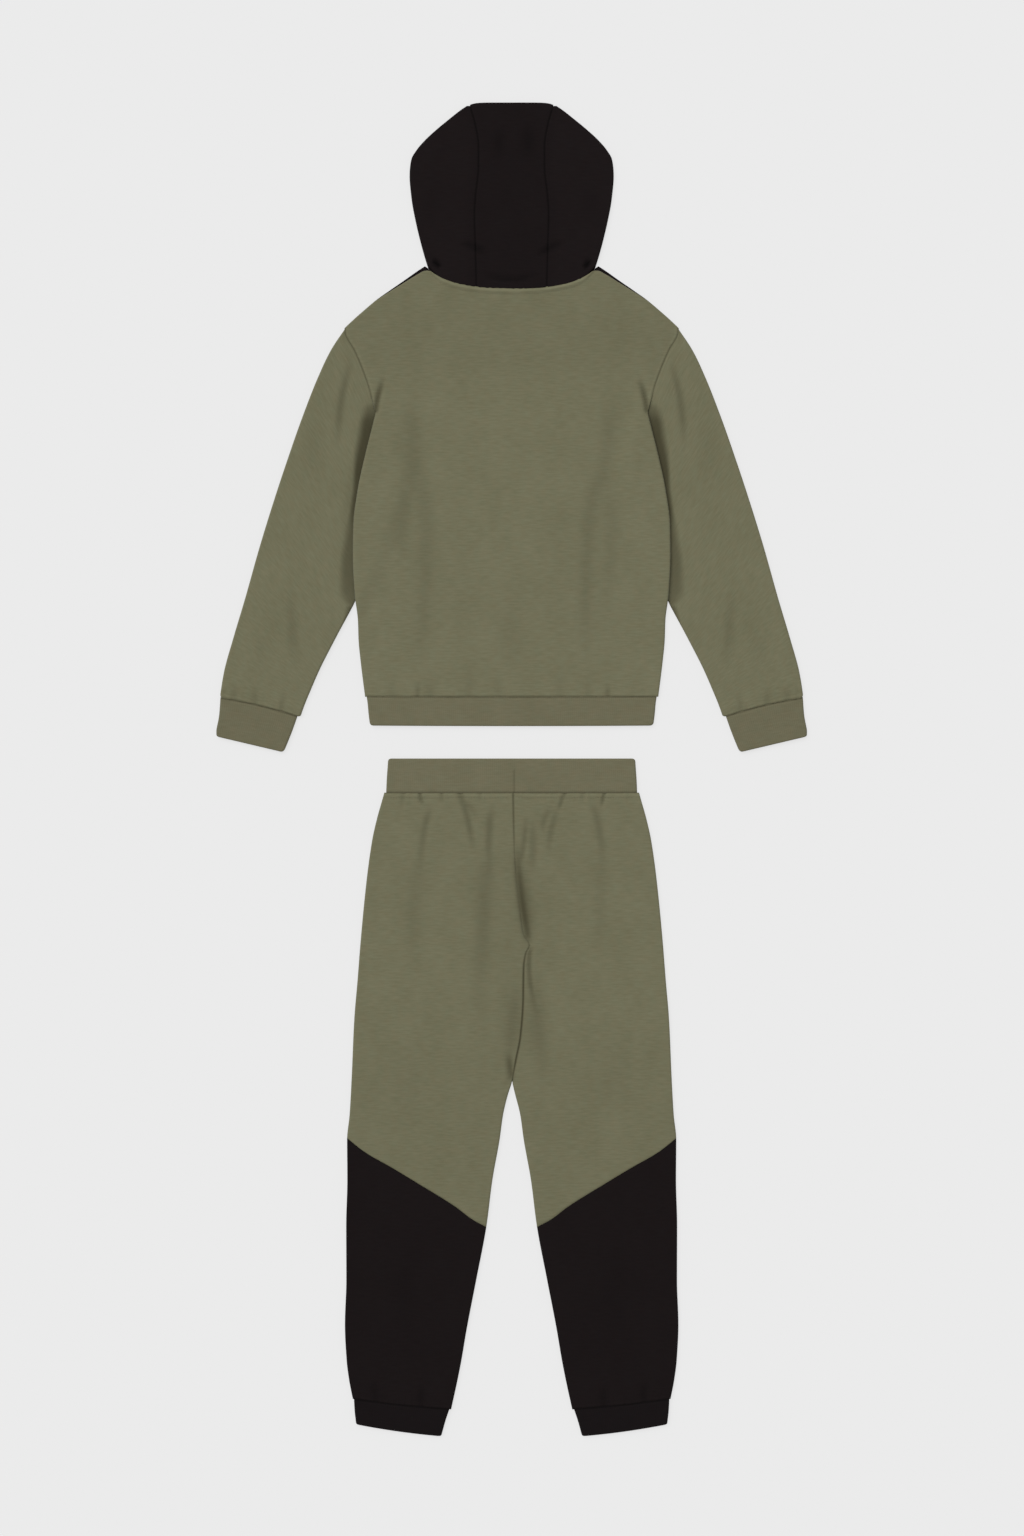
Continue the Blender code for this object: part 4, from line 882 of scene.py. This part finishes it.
def flat_leg_points(side, start, end):
    """A hidden leg front, flat on the surface, between two lines across the leg that depend on the share."""
    share = graded(LEG_WIDTH, 2 * LEG_COLUMN_PITCH) / LEG_WIDTH
    y = start(share) + (end(share) - start(share)) * np.linspace(0, 1, FLAT_LEG_ROWS)[:, None]
    inner = np.where(y > CROTCH_BOTTOM_Y, HIDDEN_MARGIN / 2, leg_inner_x(np.minimum(y, CROTCH_BOTTOM_Y), 1))
    x = side * (inner + (leg_outer_x(y) - inner) * share)
    return np.stack([x, y, np.full_like(x, FRONT_JERSEY), np.zeros_like(x)], axis=2)


class Socket:
    """An output socket of a look. Arithmetic on it adds Math nodes."""

    def __init__(self, look, output):
        self.look = look
        self.output = output

    def math(self, operation, *values):
        return self.look.add("ShaderNodeMath", {"operation": operation}, dict(enumerate(values)))

    def __add__(self, other):
        return self.math("ADD", self, other)

    def __radd__(self, other):
        return self.math("ADD", other, self)

    def __mul__(self, other):
        return self.math("MULTIPLY", self, other)

    def __rmul__(self, other):
        return self.math("MULTIPLY", other, self)

    def sine(self):
        return self.math("SINE", self)

    def size(self):
        return self.math("ABSOLUTE", self)


class Look:
    """A material, and the one method that adds nodes to it."""

    def __init__(self, name):
        self.material = bpy.data.materials.new(name)
        self.material.use_nodes = True
        self.tree = self.material.node_tree
        self.shader = self.tree.nodes["Principled BSDF"]

    def add(self, kind, settings, values, output=0):
        """A node of a kind, with its settings set first, then its sockets' values or links."""
        node = self.tree.nodes.new(kind)
        for name, value in settings.items():
            setattr(node, name, value)
        for name, value in values.items():
            self.feed(node.inputs[name], value)
        return Socket(self, node.outputs[output])

    def feed(self, target, value):
        """Links a socket to a target, or sets the target's own value."""
        if isinstance(value, Socket):
            self.tree.links.new(value.output, target)
        else:
            target.default_value = value

    def finish(self, **values):
        """Feeds the shader's sockets, named with underlines for spaces."""
        for name, value in values.items():
            self.feed(self.shader.inputs[name.replace("_", " ")], value)

    def cloth_place(self, scale_x, scale_y):
        """The piece's own pattern coordinates, in metres, times a scale each way."""
        place = self.add("ShaderNodeUVMap", {"uv_map": "cloth"}, {})
        scale = (scale_x, scale_y, 1)
        return self.add("ShaderNodeVectorMath", {"operation": "MULTIPLY"}, {0: place, 1: scale})

    def noise(self, grain):
        """Soft noise on the cloth, with so many grains to the metre each way, from 0 to 1."""
        values = {"Vector": self.cloth_place(grain.across, grain.along), "Scale": 1.0, "Roughness": 0.5,
                  "Detail": grain.detail}
        return self.add("ShaderNodeTexNoise", {"noise_dimensions": "2D"}, values)

    def mix(self, share, first, second, blend="MIX"):
        """A colour part of the way from the first to the second, or to their product."""
        return self.add("ShaderNodeMix", {"data_type": "RGBA", "blend_type": blend},
                        {0: share, 6: first, 7: second}, output=2)

    def shade(self):
        """The painted shade of a place, from the piece's own attribute: how far its colour is darkened toward
        the fold colour.
        """
        return self.add("ShaderNodeAttribute", {"attribute_name": "shade"}, {}, output=2)


ClothLook = namedtuple("ClothLook", "name light dark fold knit gloss sheen")
Knit = namedtuple("Knit", "columns column course slub blotch fuzz groove")
Grain = namedtuple("Grain", "across along detail")

# A knit's columns to the metre, then how far each part shows in its relief and in its tone; the last is
# painted shade in the rib's grooves
JERSEY_KNIT = Knit(900, 0.35, 0.15, 0.55, 0.25, 0.20, 0)
RIB_KNIT = Knit(420, 1.00, 0.10, 0.45, 0.25, 0.15, 0.15)
COURSES_PER_METRE = 1150

# Grains to the metre, across and along the cloth
SLUB = Grain(75, 520, 3.0)
BLOTCH = Grain(28, 22, 2.0)
HUE = Grain(110, 95, 1.0)
FUZZ = Grain(2600, 2600, 2.0)
BROWN_TINT = (1.035, 0.985, 0.970, 1)
GREEN_TINT = (0.965, 1.015, 1.030, 1)

SLUB_RELIEF = 0.5
FUZZ_RELIEF = 0.6
KNIT_BUMP = 0.30
KNIT_DEPTH = 0.0003
CLOTH_ROUGHNESS = 0.86
FUZZ_ROUGHNESS = 0.12
SHEEN_ROUGHNESS = 0.45

THREAD_COLOUR = (0.150, 0.142, 0.085, 1)
TWIST_GRAIN = 1800.0
TWIST_DARK = 0.7
TWIST_BUMP = 0.4
TWIST_DEPTH = 0.0001
THREAD_ROUGHNESS = 0.7
TWIST_ROUGHNESS = 0.1

# fold is the painted shade colour, toward which creases, seam lines and the shadow beside the body's fold are
# darkened
LOOKS = [
    ClothLook("olive_jersey", light=(0.219, 0.211, 0.133, 1), dark=(0.122, 0.118, 0.063, 1),
              fold=(0.048, 0.043, 0.021, 1), knit=JERSEY_KNIT, gloss=0.20, sheen=0.10),
    ClothLook("olive_rib", light=(0.197, 0.184, 0.117, 1), dark=(0.111, 0.104, 0.056, 1),
              fold=(0.048, 0.041, 0.021, 1), knit=RIB_KNIT, gloss=0.20, sheen=0.10),
    ClothLook("black_jersey", light=(0.0132, 0.0100, 0.0102, 1), dark=(0.0084, 0.0056, 0.0058, 1),
              fold=(0.001, 0.001, 0.001, 1), knit=JERSEY_KNIT, gloss=0.05, sheen=0.02),
    ClothLook("black_rib", light=(0.0116, 0.0089, 0.0093, 1), dark=(0.0068, 0.0049, 0.0053, 1),
              fold=(0.001, 0.001, 0.001, 1), knit=RIB_KNIT, gloss=0.05, sheen=0.02),
]


def knit_look(row):
    """Brushed jersey or rib: slubs that run across, broad uneven dye, fuzz, and the knit's columns and rows.

    The columns are sines across the cloth. Rib has coarser ones, with painted shade in their grooves.
    """
    look = Look(row.name)
    slub, blotch, hue, fuzz = [look.noise(grain) for grain in (SLUB, BLOTCH, HUE, FUZZ)]
    across, along = [
        look.add("ShaderNodeSeparateXYZ", {}, {0: look.cloth_place(1, 1)}, output=k) for k in (0, 1)
    ]
    column = (across * (np.pi * row.knit.columns)).sine().size()
    course = (along * (2 * np.pi * COURSES_PER_METRE)).sine()
    tone = slub * row.knit.slub + blotch * row.knit.blotch + fuzz * row.knit.fuzz
    if row.knit.groove:
        # Painted shade: the rib's grooves are darker than its ridges
        tone = tone + column * row.knit.groove
    colour = look.mix(tone, row.dark, row.light)
    colour = look.mix(1.0, colour, look.mix(hue, GREEN_TINT, BROWN_TINT), blend="MULTIPLY")
    # Painted shade: the colour is darkened toward the fold colour by the piece's shade attribute
    colour = look.mix(look.shade(), colour, row.fold)
    relief = column * row.knit.column + course * row.knit.course + slub * SLUB_RELIEF + fuzz * FUZZ_RELIEF
    bump = {"Height": relief, "Strength": KNIT_BUMP, "Distance": KNIT_DEPTH}
    normal = look.add("ShaderNodeBump", {}, bump)
    look.finish(Base_Color=colour, Roughness=CLOTH_ROUGHNESS + fuzz * FUZZ_ROUGHNESS, Normal=normal,
                Sheen_Weight=row.sheen, Sheen_Roughness=SHEEN_ROUGHNESS, Specular_IOR_Level=row.gloss)
    return look.material


def thread_look(name, colour):
    """Matt spun thread: a fine twist as noise in its shade and relief."""
    look = Look(name)
    place = look.add("ShaderNodeTexCoord", {}, {}, output=3)
    twist = look.add("ShaderNodeTexNoise", {}, {"Vector": place, "Scale": TWIST_GRAIN, "Detail": 1.0})
    dark = tuple(TWIST_DARK * part for part in colour[:3]) + (1,)
    bump = {"Height": twist, "Strength": TWIST_BUMP, "Distance": TWIST_DEPTH}
    normal = look.add("ShaderNodeBump", {}, bump)
    look.finish(Base_Color=look.mix(twist, dark, colour), Normal=normal,
                Roughness=THREAD_ROUGHNESS + twist * TWIST_ROUGHNESS)
    return look.material


def corner_grid(index):
    """Each cell's four corners, from a grid of indices."""
    cells = [index[:-1, :-1], index[:-1, 1:], index[1:, 1:], index[1:, :-1]]
    return np.stack(cells, axis=-1).reshape(-1, 4)


def surface(name, places_and_shade, look, ring=False, turned=False):
    """A mesh over a grid of points, with its pattern coordinates and its painted shade.

    A plain piece's pattern is its plan. A ring's pattern is the distance round it and along it, so that the
    knit follows the tube.
    """
    points, shade = places_and_shade[:, :, :3], places_and_shade[:, :, 3]
    rows, columns = shade.shape
    index = np.arange(rows * columns).reshape(rows, columns)
    pattern = points[:, :, :2]
    if ring:
        index = np.hstack([index, index[:, :1]])
        closed = np.concatenate([points, points[:, :1]], axis=1)
        round_it = np.cumsum(np.linalg.norm(np.diff(closed, axis=1), axis=2), axis=1)
        round_it = np.hstack([np.zeros((rows, 1)), round_it]).mean(axis=0, keepdims=True)
        along_it = np.cumsum(np.linalg.norm(np.diff(closed, axis=0), axis=2), axis=0)
        along_it = np.vstack([np.zeros((1, columns + 1)), along_it]).mean(axis=1, keepdims=True)
        pattern = np.stack(np.broadcast_arrays(round_it, along_it), axis=2)
    corners = corner_grid(index)
    places = pattern.reshape(-1, 2)[corner_grid(np.arange(index.size).reshape(index.shape))]
    if turned:
        corners = corners[:, ::-1]
        places = places[:, ::-1]
    mesh = bpy.data.meshes.new(name)
    mesh.from_pydata(points.reshape(-1, 3), [], corners)
    mesh.uv_layers.new(name="cloth").data.foreach_set("uv", places.reshape(-1).astype(np.float32))
    shade = np.clip(shade, 0, 1).reshape(-1).astype(np.float32)
    mesh.attributes.new("shade", "FLOAT", "POINT").data.foreach_set("value", shade)
    mesh.shade_smooth()
    mesh.materials.append(look)
    piece = bpy.data.objects.new(name, mesh)
    bpy.context.scene.collection.objects.link(piece)
    return piece


def cloth(node, look, points, wall, ring=False, turned=False):
    """A cloth piece in place of a solid: a grid given a wall inwards, attached to the root, with the solid
    hidden.
    """
    piece = surface(node + "_cloth", points, look, ring=ring, turned=turned)
    shell = piece.modifiers.new("wall", "SOLIDIFY")
    shell.thickness = wall
    shell.offset = -1
    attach(piece, "root")
    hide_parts(node)
    return piece


def stitches(name, look, path):
    """A row of topstitches along a path: each a short rounded bar, whose ends dip into the cloth.

    A bar is rings of points round its line, of radius THREAD_RADIUS * sqrt(1 - t * t), t from -1 to 1.
    """
    run = np.concatenate([[0], np.cumsum(np.linalg.norm(np.diff(path, axis=0), axis=1))])
    starts = np.arange(STITCH_PITCH, run[-1] - STITCH_PITCH, STITCH_PITCH)
    t = STITCH_RINGS
    turn = np.arange(STITCH_SIDES) * 2 * np.pi / STITCH_SIDES
    at = starts[:, None] + STITCH_LENGTH / 2 * t
    centre = np.stack([np.interp(at, run, path[:, k]) for k in range(3)], axis=2)
    ahead = np.stack([np.interp(at + TINY, run, path[:, k]) for k in range(3)], axis=2) - centre
    ahead[:, :, 2] = 0
    ahead /= np.maximum(np.linalg.norm(ahead, axis=2, keepdims=True), TINY * TINY)
    sideways = np.stack([-ahead[:, :, 1], ahead[:, :, 0], 0 * ahead[:, :, 0]], axis=2)
    radius = THREAD_RADIUS * np.sqrt(np.clip(1 - t * t, STITCH_END, 1))[None, :, None, None]
    lift = np.array([0, 0, 1])
    ring = sideways[:, :, None] * np.cos(turn)[:, None] + lift * np.sin(turn)[:, None]
    points = centre[:, :, None] + radius * ring
    points[:, :, :, 2] -= THREAD_RADIUS * (t * t)[None, :, None]
    count, rings, sides = points.shape[:3]
    index = np.arange(count * rings * sides).reshape(count, rings, sides)
    index = np.concatenate([index, index[:, :, :1]], axis=2)
    cells = [index[:, :-1, :-1], index[:, :-1, 1:], index[:, 1:, 1:], index[:, 1:, :-1]]
    walls = np.stack(cells, axis=-1).reshape(-1, 4)
    caps = np.concatenate([index[:, 0, :-1][:, ::-1], index[:, -1, :-1]])
    mesh = bpy.data.meshes.new(name)
    mesh.from_pydata(points.reshape(-1, 3), [], walls.tolist() + caps.tolist())
    mesh.shade_smooth()
    mesh.materials.append(look)
    piece = bpy.data.objects.new(name, mesh)
    bpy.context.scene.collection.objects.link(piece)
    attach(piece, "root")


def make_sweatshirt(looks):
    """Front, back, sleeves, cuffs, hem band and three-panel hood, and the neck's topstitching."""
    olive, rib, black = looks["olive_jersey"], looks["olive_rib"], looks["black_jersey"]
    cloth("front", black, front_points(), FRONT_JERSEY, turned=True)
    cloth("back", olive, back_points(), JERSEY,
          turned=True)
    hem = tube_points(HEM_RIB, ROW_PITCH, band_face(HEM_SEED), HEM_CORNERS)
    cloth("hem_rib", rib, hem, RIB, ring=True)
    cloth("hood_centre", black, hood_strip_points(), JERSEY,
          turned=True)
    sleeve = tube_points(SLEEVE, ROW_PITCH, sleeve_face, SLEEVE_CORNERS, sleeve_bend)
    cuff = tube_points(CUFF, ROW_PITCH, band_face(CUFF_SEED, even=CUFF_SHADE), CUFF_CORNERS)
    for word, side in (("left", -1), ("right", 1)):
        shape = np.array([side, 1, 1, 1])
        cloth("sleeve_" + word, olive, sleeve * shape, JERSEY, ring=True, turned=side < 0)
        cloth("cuff_" + word, rib, cuff * shape, RIB, ring=True, turned=side < 0)
        cloth("hood_" + word, black, hood_side_points(side), JERSEY, turned=side > 0)
    x = np.linspace(-NECK_STITCH_END, NECK_STITCH_END, STITCH_PATH_POINTS)
    y = hood_neck_y(x) - STITCH_AWAY
    path = np.stack([x, y, back_face(x, y)[0] + THREAD_RADIUS], axis=1)
    stitches("neck_topstitching", looks["olive_thread"], path)


def make_joggers(looks):
    """Waistband, upper and lower leg pieces, ankle bands, and the waist's topstitching."""
    olive, rib = looks["olive_jersey"], looks["olive_rib"]
    black, black_rib = looks["black_jersey"], looks["black_rib"]
    band_top = band_face(WAIST_SEED, seam_first=False, back_seam=True, even=WAISTBAND_SHADE)
    band = tube_points(WAISTBAND, ROW_PITCH, band_top, WAIST_CORNERS)
    cloth("waistband", rib, band, RIB, ring=True)
    ankle = tube_points(ANKLE_RIB, ROW_PITCH, band_face(ANKLE_SEED), ANKLE_CORNERS)
    for word, side in (("left", -1), ("right", 1)):
        turned = side > 0
        thigh = flat_leg_points(side, lambda s: WAIST_SEAM_Y + 0 * s, lambda s: seam_across(BLOCK_SEAM, s))
        shin = flat_leg_points(side, lambda s: seam_across(BLOCK_SEAM, s) - HIDDEN_MARGIN,
                               lambda s: seam_across(ANKLE_SEAM, s))
        cloth("leg_front_" + word, olive, thigh, FRONT_JERSEY, turned=turned)
        cloth("shin_front_" + word, black, shin, FRONT_JERSEY, turned=turned)
        cloth("leg_back_" + word, olive, leg_back_points(side), JERSEY,
              turned=turned)
        cloth("shin_back_" + word, black, shin_back_points(side), JERSEY,
              turned=turned)
        cloth("ankle_rib_" + word, black_rib, ankle * np.array([side, 1, 1, 1]), RIB, ring=True,
              turned=not turned)
    for word, start, end in WAIST_STITCH_ENDS:
        x = np.linspace(start, end, STITCH_PATH_POINTS)
        y = np.full_like(x, WAIST_SEAM_Y - STITCH_AWAY)
        path = np.stack([x, y, leg_face(x, y)[0] + THREAD_RADIUS], axis=1)
        stitches("waist_topstitching_" + word, looks["olive_thread"], path)


FLOOR_SIZE = 60.0
FLOOR_GREY = 0.14
FLOOR_GLOW = 0.690
FLOOR_GRAIN = 6.0
FLOOR_DROP = 0.0002
WHITE = (1, 1, 1, 1)
CAMERA_LENS = 85.0
CAMERA_SENSOR = 36.0
VIEW_HEIGHT = 1.8432
VIEW_X = 0.0004
VIEW_Y = 0.0012
SKY_STRENGTH = 0.55
KEY_STRENGTH = 1.75
KEY_SPREAD = 0.9
KEY_FROM = (-0.45, 0.55, 1.0)


def make_floor():
    """A plain pale floor that glows a little, so that the set's shadow on it stays faint."""
    corner = FLOOR_SIZE / 2
    mesh = bpy.data.meshes.new("floor")
    places = [(corner * x, corner * y, 0) for x, y in ((-1, -1), (1, -1), (1, 1), (-1, 1))]
    mesh.from_pydata(places, [], [(0, 1, 2, 3)])
    look = Look("floor")
    place = look.add("ShaderNodeTexCoord", {}, {}, output=3)
    grain = look.add("ShaderNodeTexNoise", {}, {"Vector": place, "Scale": FLOOR_GRAIN, "Detail": 2.0})
    look.finish(Base_Color=(FLOOR_GREY, FLOOR_GREY, FLOOR_GREY, 1), Roughness=0.9 + grain * 0.02,
                Emission_Color=WHITE, Emission_Strength=FLOOR_GLOW, Specular_IOR_Level=0.0)
    mesh.materials.append(look.material)
    floor = bpy.data.objects.new("floor", mesh)
    floor.location.z = -FLOOR_DROP
    bpy.context.scene.collection.objects.link(floor)


def make_light():
    """An even pale sky, and one wide soft light from the upper left, even over the whole set."""
    world = bpy.data.worlds.new("studio")
    world.use_nodes = True
    sky = world.node_tree.nodes["Background"]
    sky.inputs["Color"].default_value = WHITE
    sky.inputs["Strength"].default_value = SKY_STRENGTH
    bpy.context.scene.world = world
    lamp = bpy.data.lights.new("key", "SUN")
    lamp.energy = KEY_STRENGTH
    lamp.angle = KEY_SPREAD
    key = bpy.data.objects.new("key", lamp)
    key.location = KEY_FROM
    key.rotation_mode = "QUATERNION"
    key.rotation_quaternion = (-key.location).to_track_quat("-Z", "Y")
    bpy.context.scene.collection.objects.link(key)
    bpy.context.scene.view_settings.view_transform = "Standard"


def make_camera():
    """A camera straight above, as far off as shows VIEW_HEIGHT metres of the cloth's plane."""
    lens = bpy.data.cameras.new("camera")
    lens.lens = CAMERA_LENS
    lens.sensor_width = CAMERA_SENSOR
    camera = bpy.data.objects.new("camera", lens)
    distance = VIEW_HEIGHT * CAMERA_LENS / CAMERA_SENSOR
    camera.location = (VIEW_X, VIEW_Y, BACK_TOP + distance)
    bpy.context.scene.collection.objects.link(camera)
    bpy.context.scene.camera = camera


def main():
    looks = {row.name: knit_look(row) for row in LOOKS}
    looks["olive_thread"] = thread_look("olive_thread", THREAD_COLOUR)
    make_sweatshirt(looks)
    make_joggers(looks)
    make_floor()
    make_light()
    make_camera()


main()
